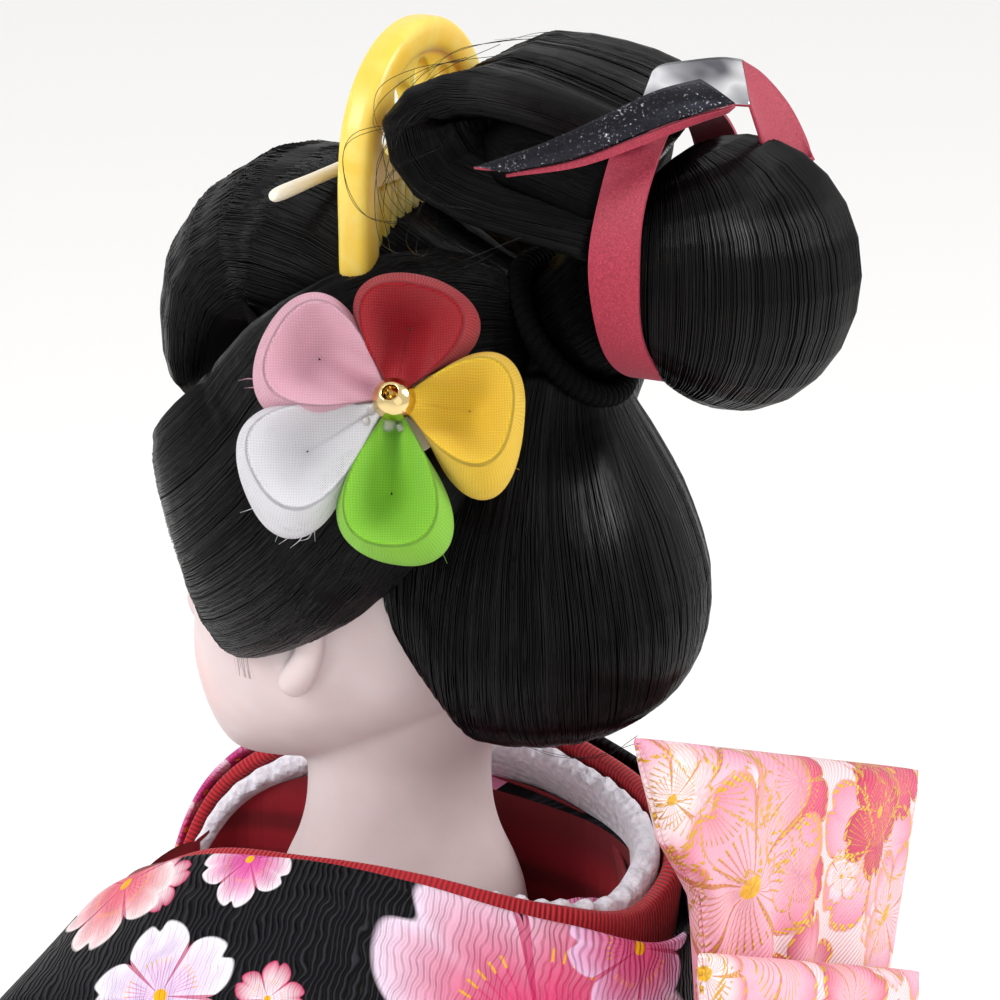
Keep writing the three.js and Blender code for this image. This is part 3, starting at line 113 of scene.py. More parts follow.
# Oval sections along a path, as a lock of hair lies: half width to its sides, heights outside and inside.
def lockRings(form, rows, columns, grow=0.0):
    ts = 0.5 - 0.5 * np.cos(np.pi * np.linspace(0.004, 0.996, rows))
    centre = alongCurve(form["path"], ts)
    along = tangents(form["path"], ts)
    across = alongList(form["side"], ts)
    across = unit(across - along * np.sum(across * along, axis=1, keepdims=True))
    up = np.cross(across, along)
    startRound, endRound = form.get("startRound", 0.15), form.get("endRound", 0.15)
    near = np.sqrt(1 - (1 - np.minimum(ts / max(startRound, 1e-6), 1)) ** 2)
    far = np.sqrt(1 - (1 - np.minimum((1 - ts) / max(endRound, 1e-6), 1)) ** 2)
    taper = (near if startRound else 1) * (far if endRound else 1) * np.ones(rows)
    c, s = oval(turns(columns), form.get("power", 2))
    wide = (alongList(form["width"], ts) * taper + grow)[:, None] * c
    outer = (alongList(form["outer"], ts) * taper + grow)[:, None] * s
    inner = (alongList(form["inner"], ts) * taper + grow)[:, None] * s
    high = np.where(s > 0, outer, inner) - alongList(form.get("bend", 0), ts)[:, None] * c * c
    return centre[:, None] + across[:, None] * wide[..., None] + up[:, None] * high[..., None]


def levelForm(z, side, front, back, y, power, columns):
    c, s = oval(turns(columns), power)
    return np.stack([c * side, y + s * np.where(s > 0, back, front), z + 0 * c], axis=2)


# Level sections (z, side, front, back, y, power) of an upright form.
def levelRings(sections, rows, columns):
    ts = np.linspace(0, 1, rows)
    return levelForm(*(alongList([s[k] for s in sections], ts)[:, None] for k in range(6)), columns)


def roundTube(centre, radius, side, other, columns):
    angle = turns(columns)[:, None]
    return centre[:, None] + radius * (np.cos(angle) * side[:, None] + np.sin(angle) * other[:, None])


def tubeRings(path, radius, rows, columns, up=(0, 0, 1)):
    ts = np.linspace(0, 1, rows)
    centre, along = alongCurve(path, ts), tangents(path, ts)
    side = unit(np.cross(np.broadcast_to(np.asarray(up, float), along.shape), along))
    other = np.cross(along, side)
    return roundTube(centre, alongList(radius, ts)[:, None, None], side, other, columns)


# A mesh object from rings of points. U runs along the rings and V round them, both from 0 to 1, or in mm.
def loft(name, rings, finish, closed=True, capped=True, inMm=False, smooth=True):
    rows, columns, _ = rings.shape
    spans = columns if closed else columns - 1
    verts = [tuple(p) for p in placed(rings.reshape(-1, 3))]
    u = np.linspace(0, 1, rows)[:, None] * np.ones(columns + 1)
    v = np.linspace(0, 1, columns + 1 if closed else columns)[None] * np.ones((rows, 1))
    if inMm:
        wrapped = np.concatenate([rings, rings[:, :1]], axis=1) if closed else rings
        v = np.zeros(wrapped.shape[:2])
        steps = np.linalg.norm(np.diff(wrapped, axis=0), axis=2).mean(axis=1)
        u = np.concatenate([[0], np.cumsum(steps)])[:, None] * np.ones(wrapped.shape[1])
        v[:, 1:] = np.cumsum(np.linalg.norm(np.diff(wrapped, axis=1), axis=2), axis=1)
        v *= v[:, -1].mean() / np.maximum(v[:, -1:], 1e-6)
    faces, uvs = [], []
    for i in range(rows - 1):
        for j in range(spans):
            k = (j + 1) % columns
            faces.append((i * columns + j, i * columns + k, (i + 1) * columns + k, (i + 1) * columns + j))
            uvs += [
                (u[i, j], v[i, j]), (u[i, j], v[i, j + 1]), (u[i + 1, j], v[i + 1, j + 1]),
                (u[i + 1, j], v[i + 1, j]),
            ]
    if closed and capped:
        for row in (0, rows - 1):
            verts.append(tuple(placed(rings[row].mean(axis=0))))
            for j in range(columns):
                k = (j + 1) % columns
                pair = (
                    row * columns + k, row * columns + j,
                ) if row == 0 else (row * columns + j, row * columns + k)
                faces.append((len(verts) - 1, *pair))
                uvs += [(u[row, 0], (v[row, j] + v[row, j + 1]) / 2)] + [(u[row, 0], v[row, j])] * 2
    return meshObject(name, verts, faces, uvs, finish, smooth, closed)


def meshObject(name, verts, faces, uvs, finish, smooth=True, closed=True):
    mesh = bpy.data.meshes.new(name)
    mesh.from_pydata(verts, [], faces)
    if uvs:
        layer = mesh.uv_layers.new(name="UVMap")
        layer.data.foreach_set("uv", np.asarray(uvs, np.float32).ravel())
    if closed and signedVolume(mesh) < 0:
        mesh.flip_normals()
    mesh.materials.append(finish)
    if smooth:
        mesh.shade_smooth()
    mesh.update()
    return added(name, mesh)


def added(name, data):
    made = bpy.data.objects.new(name, data)
    bpy.context.scene.collection.objects.link(made)
    return made


def signedVolume(mesh):
    mesh.calc_loop_triangles()
    co = np.array([v.co for v in mesh.vertices])
    tri = np.array([t.vertices for t in mesh.loop_triangles])
    return float((co[tri[:, 0]] * np.cross(co[tri[:, 1]], co[tri[:, 2]])).sum() / 6)


# Several objects become one, under the first one's name.
def joined(*objects):
    with bpy.context.temp_override(active_object=objects[0], selected_editable_objects=list(objects)):
        bpy.ops.object.join()
    return objects[0]


def finalMesh(made):
    return bpy.data.meshes.new_from_object(made.evaluated_get(bpy.context.evaluated_depsgraph_get()))


# A modifier's result becomes the object's own mesh.
def applied(made):
    mesh = finalMesh(made)
    made.modifiers.clear()
    made.data = mesh
    return made


def modified(made, kind, **settings):
    step = made.modifiers.new(kind.lower(), kind)
    for key, value in settings.items():
        setattr(step, key, value)
    return made


def dressed(made, body, slot, *nodes):
    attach(made, body)
    if nodes:
        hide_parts(*nodes)
    return made


# Nodes and colours

def linear(text, alpha=1.0):
    channels = [int(text[i:i + 2], 16) / 255 for i in (1, 3, 5)]
    return tuple(c / 12.92 if c <= 0.04045 else ((c + 0.055) / 1.055) ** 2.4 for c in channels) + (alpha,)


# Adds a node: plain settings by name, and inputs by index or name as values, sockets or nodes.
def addNode(tree, kind, inputs=None, **settings):
    node = tree.nodes.new(kind)
    for key, value in settings.items():
        setattr(node, key, value)
    for key, value in (inputs or {}).items():
        socket = node.inputs[key]
        if isinstance(value, bpy.types.Node):
            value = next(s for s in value.outputs if s.enabled)
        if isinstance(value, bpy.types.NodeSocket):
            tree.links.new(value, socket)
        else:
            socket.default_value = value
    return node


# Maths gives its result, the others their node. Inputs go in order, and named ones by name.
def maths(tree, operation, *inputs):
    return addNode(tree, "ShaderNodeMath", dict(enumerate(inputs)), operation=operation).outputs[0]


def vectors(tree, operation, *inputs, **named):
    return addNode(tree, "ShaderNodeVectorMath", {**dict(enumerate(inputs)), **named}, operation=operation)


def noise(tree, vector, scale, detail, **more):
    return addNode(tree, "ShaderNodeTexNoise", {"Vector": vector, "Scale": scale, "Detail": detail, **more})


# A wave texture whose crests lie `pitch` apart
def waves(tree, vector, pitch, across, distortion, detail, detailScale):
    given = {
        "Vector": vector, "Scale": 2 * math.pi / (20 * pitch), "Distortion": distortion, "Detail": detail,
        "Detail Scale": detailScale,
    }
    return addNode(tree, "ShaderNodeTexWave", given, bands_direction=across).outputs["Fac"]


# One colour laid over another where the mask is 1
def laidOver(tree, below, mask, paint):
    below, paint = (linear(c) if isinstance(c, str) else c for c in (below, paint))
    return addNode(tree, "ShaderNodeMix", {0: mask, 6: below, 7: paint}, data_type="RGBA").outputs[2]


def objectPlace(tree):
    return addNode(tree, "ShaderNodeTexCoord").outputs["Object"]


def uvPlace(tree):
    return addNode(tree, "ShaderNodeUVMap", uv_map="UVMap").outputs[0]


# A shader's input takes what a node gives
def feed(shader, name, source):
    source = source.outputs[0] if isinstance(source, bpy.types.Node) else source
    shader.id_data.links.new(source, shader.inputs[name])


def newFinish(name, **constants):
    finish = bpy.data.materials.new(name)
    finish.use_nodes = True
    tree = finish.node_tree
    shader = tree.nodes["Principled BSDF"]
    for key, value in constants.items():
        socket = shader.inputs[key.replace("_", " ")]
        socket.default_value = linear(value) if isinstance(value, str) else value
    return finish, tree, shader


def ramp(tree, value, stops, interpolation="LINEAR"):
    node = addNode(tree, "ShaderNodeValToRGB", {0: value})
    node.color_ramp.interpolation = interpolation
    while len(node.color_ramp.elements) < len(stops):
        node.color_ramp.elements.new(0.5)
    for element, (place, colour) in zip(node.color_ramp.elements, stops):
        element.position = place
        element.color = linear(colour) if isinstance(colour, str) else (colour, colour, colour, 1)
    return node


def bumped(tree, shader, height, depth, strength=1.0):
    bump = addNode(tree, "ShaderNodeBump", {"Height": height, "Distance": depth * mm, "Strength": strength})
    feed(shader, "Normal", bump)


# A finish whose colour and relief follow one noise, stretched over the object's own place or its UV
def grained(
    name, scale, stops, depth, strength=1.0, detail=4.0, stretch=(1, 1, 1), onUv=False, grain=None,
    **constants,
):
    finish, tree, shader = newFinish(name, **constants)
    drawn = vectors(tree, "MULTIPLY", uvPlace(tree) if onUv else objectPlace(tree), stretch)
    fine = noise(tree, drawn, scale, detail, **(grain or {}))
    feed(shader, "Base Color", ramp(tree, fine, stops))
    bumped(tree, shader, fine, depth, strength)
    return finish


# Camera at the photograph's view: 100 mm of the object across the frame, seen from 417 mm
view = {
    "azimuth": 117, "elevation": 18, "distance": 417, "across": 100, "right": 10, "up": 30, "sensor": 36,
}
azimuth, elevation = math.radians(view["azimuth"]), math.radians(view["elevation"])
backward = Vector((
    math.sin(azimuth) * math.cos(elevation), -math.cos(azimuth) * math.cos(elevation), math.sin(elevation),
))
rightward = Vector((math.cos(azimuth), math.sin(azimuth), 0))
upward = backward.cross(rightward)
target = Vector((0, 0, neckZ)) + rightward * view["right"] + upward * view["up"]
camera = added("camera", bpy.data.cameras.new("camera"))
camera.location = (target + backward * view["distance"]) * mm
camera.rotation_mode = "QUATERNION"
camera.rotation_quaternion = Matrix((rightward, upward, backward)).transposed().to_quaternion()
camera.data.sensor_width = view["sensor"]
camera.data.lens = view["sensor"] * view["distance"] / view["across"]
camera.data.clip_start, camera.data.clip_end = 0.01, 20
bpy.context.scene.camera = camera
bpy.context.scene.view_settings.view_transform = "Standard"


# Where the photograph's pixel falls on an object, in mm from the neck's middle, with the surface's normal.
def underPixel(pixel, surface):
    x, y = (pixel[0] / 1000 - 0.5) * view["across"], (0.5 - pixel[1] / 1000) * view["across"]
    ray = rightward * x + upward * y - backward * view["distance"]
    vertices = [v.co.copy() for v in surface.data.vertices]
    tree = BVHTree.FromPolygons(vertices, [tuple(p.vertices) for p in surface.data.polygons])
    point, normal, _, _ = tree.ray_cast(camera.location, ray.normalized())
    return point and (point / mm - Vector((0, 0, neckZ)), normal)


# The point under a pixel at a given depth, counted towards the camera from the neck's middle, in mm.
def atPixel(pixel, near):
    spread = (view["distance"] - near) / view["distance"] * view["across"] / 1000
    right = view["right"] + (pixel[0] - 500) * spread
    up = view["up"] + (500 - pixel[1]) * spread
    return tuple(rightward * right + upward * up + backward * near)


# Studio: a plain pale floor, a white surround and three soft lights
studio = {"floor": "#fbfaf9", "surround": 0.88, "size": 4.0}
world = bpy.data.worlds.new("studio")
bpy.context.scene.world = world
world.use_nodes = True
world.node_tree.nodes["Background"].inputs["Color"].default_value = (1, 1, 1, 1)
world.node_tree.nodes["Background"].inputs["Strength"].default_value = studio["surround"]
floorFinish = newFinish("pale_paper_floor", Base_Color=studio["floor"], Roughness=0.9)[0]
half = studio["size"] / 2
floor = meshObject(
    "floor", [(-half, -half, 0), (half, -half, 0), (half, half, 0), (-half, half, 0)], [(0, 1, 2, 3)], None,
    floorFinish, closed=False,
)


def addLight(name, place, size, power):
    lamp = added(name, bpy.data.lights.new(name, "AREA"))
    lamp.data.shape = "DISK"
    lamp.data.size = size
    lamp.data.energy = power
    lamp.location = place
    lamp.rotation_mode = "QUATERNION"
    lamp.rotation_quaternion = (Vector(place) - target * mm).to_track_quat("Z", "Y")


addLight("key_light", (0.9, -0.55, 1.05), 0.5, 8)
addLight("back_light", (-0.35, 1.0, 0.95), 0.6, 9)
addLight("fill_light", (0.8, 0.9, 0.5), 0.9, 1)
print("camera and studio ready")


# Dressed hair: black silk thread, combed and waxed, with long streaks and a soft sheen along the strands
hair = {
    "thread": 0.06,  # radius, mm
    "shade": "#060506",
    "sheen": "#0a090b",
    "streaksAcross": 260,
    "streaksAlong": 3,
}


def combedHair():
    finish = grained(
        "combed_silk_hair", 1.0, [(0.35, hair["shade"]), (0.75, hair["sheen"])], 0.25, 0.9, 3.0,
        (hair["streaksAlong"], hair["streaksAcross"], 1), True, {"Roughness": 0.7}, Roughness=0.4,
        Anisotropic=0.8,
        Specular_IOR_Level=0.08,
    )
    tree = finish.node_tree
    grain = addNode(tree, "ShaderNodeTangent", direction_type="UV_MAP", uv_map="UVMap")
    feed(tree.nodes["Principled BSDF"], "Tangent", grain)
    return finish


def threadFinish():
    finish, tree, shader = newFinish("black_silk_thread", Roughness=0.2, Specular_IOR_Level=0.21)
    shadeHere = addNode(tree, "ShaderNodeAttribute", attribute_name="shade")
    shade = ramp(tree, shadeHere.outputs["Fac"], [(0.0, "#020202"), (0.8, "#060507"), (1.0, "#100e12")])
    feed(shader, "Base Color", shade)
    return finish


combed, thread = combedHair(), threadFinish()


# Strands laid over a surface, from its U = Start to U = End, each at its own V with a slight wander and lift.
def strandTree():
    tree = bpy.data.node_groups.new("laid_strands", "GeometryNodeTree")
    sockets = tree.interface
    sockets.new_socket("Geometry", in_out="INPUT", socket_type="NodeSocketGeometry")
    inputs = (
        ("Count", "Int", 1000), ("Steps", "Int", 16), ("Radius", "Float", 0.00006),
        ("Lift", "Float", 0.0002),
        ("Sink", "Float", 0.00003), ("Wander", "Float", 0.02), ("Clumps", "Float", 9.0),
        ("Start", "Float", 0.0),
        ("End", "Float", 1.0), ("Ragged", "Float", 0.02), ("From", "Float", 0.0), ("To", "Float", 1.0),
        ("Seed", "Int", 1), ("Finish", "Material", None),
    )
    for name, kind, value in inputs:
        socket = sockets.new_socket(name, in_out="INPUT", socket_type="NodeSocket" + kind)
        if value is not None:
            socket.default_value = value
    sockets.new_socket("Geometry", in_out="OUTPUT", socket_type="NodeSocketGeometry")
    given = addNode(tree, "NodeGroupInput").outputs
    line = addNode(tree, "GeometryNodeCurvePrimitiveLine", {"End": (1, 0, 0)})
    stepped = addNode(tree, "GeometryNodeResampleCurve", {0: line, 2: given["Steps"]}, mode="COUNT")
    points = addNode(tree, "GeometryNodePoints", {"Count": given["Count"]})
    copies = addNode(tree, "GeometryNodeInstanceOnPoints", {"Points": points, "Instance": stepped})
    strands = addNode(tree, "GeometryNodeRealizeInstances", {0: copies})
    factor = addNode(tree, "GeometryNodeSplineParameter").outputs["Factor"]
    which = addNode(tree, "GeometryNodeCurveOfPoint").outputs["Curve Index"]

    def chance(low, high, salt):
        seed = maths(tree, "ADD", given["Seed"], salt)
        pick = addNode(tree, "FunctionNodeRandomValue", {2: low, 3: high, "ID": which, "Seed": seed})
        return pick.outputs[1]

    across = chance(given["From"], given["To"], 11)
    lagStart = maths(tree, "MULTIPLY_ADD", chance(0.0, 1.0, 23), given["Ragged"], given["Start"])
    short = maths(tree, "MULTIPLY", chance(0.0, 1.0, 37), given["Ragged"])
    lagEnd = maths(tree, "SUBTRACT", given["End"], short)
    along = addNode(tree, "ShaderNodeMapRange", {"Value": factor, "To Min": lagStart, "To Max": lagEnd})
    bundle = maths(tree, "MULTIPLY", across, given["Clumps"])
    travel = maths(tree, "MULTIPLY", factor, 2.2)
    spot = addNode(tree, "ShaderNodeCombineXYZ", {0: travel, 1: bundle, 2: chance(0.0, 0.8, 41)})
    drift = noise(tree, spot, 1.0, 1.0)
    swing = maths(tree, "SUBTRACT", drift, 0.5)
    aside = maths(tree, "MULTIPLY_ADD", swing, given["Wander"], across)
    wrapped = maths(tree, "FLOORED_MODULO", aside, 1.0)
    sample = addNode(tree, "ShaderNodeCombineXYZ", {0: along, 1: wrapped})
    uvMap = addNode(tree, "GeometryNodeInputNamedAttribute", {"Name": "UVMap"}, data_type="FLOAT_VECTOR")
    surface = {0: given["Geometry"], 2: uvMap, 3: sample}
    position = addNode(tree, "GeometryNodeInputPosition")
    normal = addNode(tree, "GeometryNodeInputNormal")
    where = addNode(tree, "GeometryNodeSampleUVSurface", {**surface, 1: position}, data_type="FLOAT_VECTOR")
    facing = addNode(tree, "GeometryNodeSampleUVSurface", {**surface, 1: normal}, data_type="FLOAT_VECTOR")
    arch = maths(tree, "MULTIPLY", factor, math.pi)
    arched = maths(tree, "SINE", arch)
    rise = maths(tree, "MULTIPLY", chance(0.0, 1.0, 53), given["Lift"])
    lifted = maths(tree, "MULTIPLY", rise, arched)
    height = maths(tree, "SUBTRACT", lifted, given["Sink"])
    push = vectors(tree, "SCALE", facing, Scale=height)
    place = vectors(tree, "ADD", where, push)
    laid = addNode(tree, "GeometryNodeSetPosition", {"Geometry": strands, "Position": place})
    shaded = addNode(
        tree, "GeometryNodeStoreNamedAttribute", {0: laid, "Name": "shade", "Value": chance(0.0, 1.0, 67)},
        data_type="FLOAT", domain="POINT",
    )
    thin = maths(tree, "POWER", arched, 0.35)
    profile = addNode(
        tree, "GeometryNodeCurvePrimitiveCircle", {"Resolution": 3, "Radius": given["Radius"]},
    )
    tubes = addNode(tree, "GeometryNodeCurveToMesh", {0: shaded, 1: profile, 2: thin})
    soft = addNode(tree, "GeometryNodeSetShadeSmooth", {0: tubes})
    whole = addNode(tree, "GeometryNodeRealizeInstances", {0: soft})
    finished = addNode(tree, "GeometryNodeSetMaterial", {0: whole, "Material": given["Finish"]})
    addNode(tree, "NodeGroupOutput", {0: finished})
    return tree


laidStrands = strandTree()


def layStrands(name, surface, values):
    host = added(name + "_host", surface.data)
    step = host.modifiers.new("strands", "NODES")
    step.node_group = laidStrands
    values = {"Finish": thread, "Radius": hair["thread"] * mm, **values}
    for item in laidStrands.interface.items_tree:
        if item.in_out == "INPUT" and item.name in values:
            step[item.identifier] = values[item.name]
    mesh = finalMesh(host)
    bpy.data.objects.remove(host)
    return dressed(added(name, mesh), "head", "dressed_hair")


ahead = (1, 0, 0)
frontLock = {
    "path": [
        (0, -18.4, 40), (0, -19, 46.6), (0, -17, 55.4), (0, -11, 60.6),
        (0, -3.8, 59.6), (0, 4.6, 56), (0, 11.5, 53.4), (0, 17.4, 51.2),
    ],
    "side": [ahead] * 8,
    "width": [11, 13.4, 14.4, 14.4, 13, 11, 8.6, 6.6],
    "outer": [1.2, 3.2, 4.7, 4.9, 4.8, 3.4, 3.2, 3],
    "inner": [2.5, 6, 10, 14, 14, 10, 7, 4.5],
    "bend": [2, 2.5, 2.5, 2, 2, 2, 1, 0],
    "power": 2.1,
    "startRound": 0.1,
    "endRound": 0.08,
}


def sideLock(hand):
    return {
        "path": [
            (hand * 14.2, -14.5, 29.6), (hand * 18, -8, 33), (hand * 20, -0.3, 38.9),
            (hand * 17, 4.6, 46), (hand * 10.6, 10.4, 51.8), (hand * 4.6, 16.4, 52),
        ],
        "side": [
            (0.2, hand * 0.5, hand * -0.84), (0.2, hand * 0.6, hand * -0.78),
            (0.3, hand * 0.66, hand * -0.7),
            (0.45, hand * 0.62, hand * -0.64), (0.5, hand * 0.5, hand * -0.7),
            (0.5, hand * 0.4, hand * -0.75),
        ],
        "width": [11.6, 12.6, 13.5, 13.4, 9.4, 5.6],
        "outer": [3.4, 4.8, 5.3, 5, 4.2, 3],
        "inner": [3, 6, 8, 9, 7, 4],
        "power": 2.7,
        "startRound": 0.1,
        "endRound": 0.08,
    }


# Level sections of the back hair: z, side, front, back, y, power. They rise towards the ears.
backTilt = 0.95
backSections = [
    (12.2, 4, 4, 4, 17.2, 2.2), (13.4, 12, 13, 9, 17, 2.2), (17, 17.8, 17, 12.3, 17, 2.2),
    (24, 20, 18, 13, 17.2, 2.2), (32, 17.8, 17, 11.4, 16.8, 2.2), (38.6, 14, 14, 8.8, 16.6, 2.2),
    (44, 10, 8, 6.6, 16.4, 2.2), (48.4, 7.6, 4, 5.4, 16.8, 2.2),
]
bandY = 28.9
loopLock = {
    "path": [
        (0, bandY - 1.2, 69), (0, 23, 71.4), (0, 16.8, 73.6), (0, 10.8, 74.6),
        (0, 6.6, 71.8), (0, 8.4, 66.8), (0, 14.6, 64.2), (0, 21, 62.4), (0, bandY - 2.2, 61),
    ],
    "side": [ahead] * 9,
    "width": [9, 11.4, 12, 12, 11.8, 11.4, 11, 9.6, 8],
    "outer": [2.6, 2.4, 2.6, 2.9, 2.3, 2.3, 2.6, 3.2, 4],
    "inner": [2.4, 1.9, 1.5, 1.3, 1.3, 1.3, 1.6, 2, 2.4],
    "bend": [3.6, 3.8, 2.8, 1.6, 1.0, 0.6, 0.4, 0, 0],
    "power": 2.3,
    "startRound": 0.05,
    "endRound": 0.05,
}
lobe = {"centre": (0, 35.9, 58.8), "radii": (11.2, 10.9, 12.6), "axis": 0.72}


# Small waves over a surface, as combed hair lies in shallow bundles. V runs round the rings.
def bundled(rings, bundles, depth, seed):
    rows, columns, _ = rings.shape
    chance = random.Random(seed)
    phases = [(chance.uniform(0, 6.28), chance.uniform(0.6, 1.4), chance.uniform(-2, 2)) for _ in range(4)]
    v = np.linspace(0, 2 * np.pi, columns, endpoint=False)[None]
    u = np.linspace(0, 1, rows)[:, None]
    wave = sum(np.sin(round(bundles * k) * v + p + s * u) for p, k, s in phases) / 4
    around = np.roll(rings, -1, axis=1) - np.roll(rings, 1, axis=1)
    along = np.gradient(rings, axis=0)
    normal = unit(np.cross(around, along))
    return rings + normal * (wave * depth * np.sin(np.pi * u) ** 0.5)[..., None]


# The lobe's strands run down from a point under the band, round the back and in again below it
def lobeRings(rows, columns):
    rise = np.linspace(-0.5, 0.5, rows)[:, None] * np.pi
    turn = turns(columns)[None]
    d = lobe["axis"]
    level = np.cos(rise)
    c = level * np.cos(turn)
    reach = d * c + np.sqrt(d * d * c * c + 1 - d * d)
    points = np.stack(
        [reach * level * np.sin(turn), reach * c - d, reach * np.sin(rise) + 0 * turn], axis=2,
    )
    return points * lobe["radii"] + lobe["centre"]


backRings = levelRings(backSections, 90, 140)
backRings[..., 2] += backTilt * np.maximum(0, 16 - backRings[..., 1])
hairPieces = {
    "front_hair": bundled(lockRings(frontLock, 90, 120), 14, 0.12, 1),
    "side_hair_left": bundled(lockRings(sideLock(1), 90, 120), 14, 0.12, 2),
    "side_hair_right": bundled(lockRings(sideLock(-1), 90, 120), 14, 0.12, 3),
    "topknot_loop": bundled(lockRings(loopLock, 120, 110), 12, 0.08, 4),
    "back_hair": bundled(backRings, 16, 0.14, 5), "topknot_lobe": lobeRings(80, 160),
}
surfaces = {}
for name, rings in hairPieces.items():
    surfaces[name] = dressed(loft(name + "_mass", rings, combed), "head", "dressed_hair", name)

strandPlan = {
    "front_hair": {"Seed": 1, "From": -0.06, "To": 0.56},
    "side_hair_left": {"Seed": 2, "From": -0.08, "To": 0.58},
    "side_hair_right": {"Count": 950, "Seed": 3, "From": -0.08, "To": 0.58},
    "back_hair": {"Seed": 4, "From": -0.14, "To": 0.64},
    "topknot_loop": {"Seed": 5, "Count": 1300, "Steps": 23, "Ragged": 0.01},
    "topknot_lobe": {"Seed": 6, "From": -0.31, "To": 0.31, "Ragged": 0.0, "Wander": 0.008},
}
for name, values in strandPlan.items():
    layStrands(name + "_strands", surfaces[name], {"Count": 1400, "Steps": 21, "Sink": -0.00009, **values})
print("hair laid")

# Gofun skin: layered shell-white paint polished with a cloth, a soft satin white with a warm blush
face = {
    "eyeX": 7.3, "eyeZ": 21.6, "eyeHalf": 3.3, "lidRise": 1.25, "lidDrop": 0.55, "iris": 1.3,
    "browX": 7.6, "browZ": 28.4, "browHalf": 3.8, "browRise": 1.4, "lipZ": 11.2, "lipHalf": 2.5,
}


def gofunSkin(painted):
    finish, tree, shader = newFinish(
        "polished_gofun_shell_paint", Roughness=0.5, Specular_IOR_Level=0.35, Subsurface_Weight=0.25,
        Subsurface_Scale=0.0012, Subsurface_Radius=(1.0, 0.45, 0.35),
    )
    spot = objectPlace(tree)
    local = vectors(tree, "ADD", spot, (0, 0, -neckZ * mm))
    inMm = vectors(tree, "SCALE", local, Scale=1 / mm)
    cloud = noise(tree, inMm, 0.12, 2.0)
    skin = ramp(tree, cloud, [(0.3, "#cfbcbc"), (0.7, "#dacaca")])
    colour = skin.outputs[0]
    fine = noise(tree, inMm, 1.8, 3.0)
    bumped(tree, shader, fine, 0.03, 0.5)
    if not painted:
        feed(shader, "Base Color", colour)
        return finish

    calc, over = partial(maths, tree), partial(laidOver, tree)
    axes = addNode(tree, "ShaderNodeSeparateXYZ", {0: inMm})
    x, y, z = calc("ABSOLUTE", axes.outputs[0]), axes.outputs[1], axes.outputs[2]
    facing = calc("LESS_THAN", y, -8.0)

    # Share of a soft-edged shape: 1 where `inside` is over 0, across a width of `soft` mm
    def edge(inside, soft=0.12):
        raw = addNode(
            tree, "ShaderNodeMapRange", {"Value": inside, "From Min": -soft, "From Max": soft}, clamp=True,
        )
        return calc("MULTIPLY", raw.outputs[0], facing)

    blush = calc("POWER", calc("MAXIMUM", calc("SUBTRACT", 1.0, calc(
        "ADD", calc("POWER", calc("MULTIPLY_ADD", x, 0.16, -1.6), 2.0),
        calc("POWER", calc("MULTIPLY_ADD", z, 0.16, -2.5), 2.0),
    )), 0.0), 1.5)
    colour = over(colour, calc("MULTIPLY", calc("MULTIPLY", blush, facing), 0.35), "#e9a9a2")
    # Eyes: white between two lids, a dark iris and a fine upper lash line
    u = calc("DIVIDE", calc("SUBTRACT", x, face["eyeX"]), face["eyeHalf"])
    lid = calc("SUBTRACT", 1.0, calc("MULTIPLY", u, u))
    level = calc("SUBTRACT", z, calc("MULTIPLY_ADD", u, 0.35, face["eyeZ"]))
    top = calc("MULTIPLY", lid, face["lidRise"])
    under = calc("SUBTRACT", top, level)
    above = calc("ADD", level, calc("MULTIPLY", lid, face["lidDrop"]))
    open_ = calc("MULTIPLY", edge(under), edge(above))
    colour = over(colour, open_, "#ece8e6")
    away = calc("SQRT", calc("ADD", calc("POWER", calc("SUBTRACT", x, face["eyeX"] - 0.1), 2.0), calc(
        "POWER", calc("SUBTRACT", level, 0.35), 2.0)))
    colour = over(colour, calc("MULTIPLY", open_, edge(calc("SUBTRACT", face["iris"], away))), "#1d0f0b")
    within = calc("GREATER_THAN", lid, -0.12)
    lash = edge(calc("SUBTRACT", 0.24, calc("ABSOLUTE", under)), 0.1)
    colour = over(colour, calc("MULTIPLY", lash, within), "#120b0b")
    lower = edge(calc("SUBTRACT", 0.05, calc("ABSOLUTE", above)), 0.12)
    colour = over(colour, calc("MULTIPLY", calc("MULTIPLY", lower, within), 0.5), "#5a3a36")
    # Brows: soft brushed arcs
    b = calc("DIVIDE", calc("SUBTRACT", x, face["browX"]), face["browHalf"])
    arc = calc("MULTIPLY", calc("SUBTRACT", 1.0, calc("MULTIPLY", b, b)), face["browRise"])
    height = calc("ABSOLUTE", calc("SUBTRACT", calc("SUBTRACT", z, face["browZ"] - 0.7), arc))
    taper = calc("MULTIPLY", calc("SUBTRACT", 1.0, calc("MULTIPLY", b, b)), 0.55)
    colour = over(colour, calc("MULTIPLY", edge(calc("SUBTRACT", taper, height), 0.35), 0.75), "#3a3032")
    # Lips: a small crimson bow
    m = calc("DIVIDE", x, face["lipHalf"])
    rise = calc("MULTIPLY_ADD", calc("COSINE", calc("MULTIPLY", x, 2.6)), -0.22, 0.95)
    full = calc("SUBTRACT", 1.0, calc("MULTIPLY", m, m))
    upper = calc("SUBTRACT", calc("MULTIPLY", rise, full), calc("SUBTRACT", z, face["lipZ"]))
    lowerLip = calc("ADD", calc("MULTIPLY", full, 1.25), calc("SUBTRACT", z, face["lipZ"]))
    lips = calc("MULTIPLY", edge(upper, 0.1), edge(lowerLip, 0.1))
    colour = over(colour, lips, "#b3182c")
    seam = edge(calc("SUBTRACT", 0.07, calc("ABSOLUTE", calc("SUBTRACT", z, face["lipZ"] + 0.1))), 0.08)
    colour = over(colour, calc("MULTIPLY", seam, lips), "#6d0d1b")
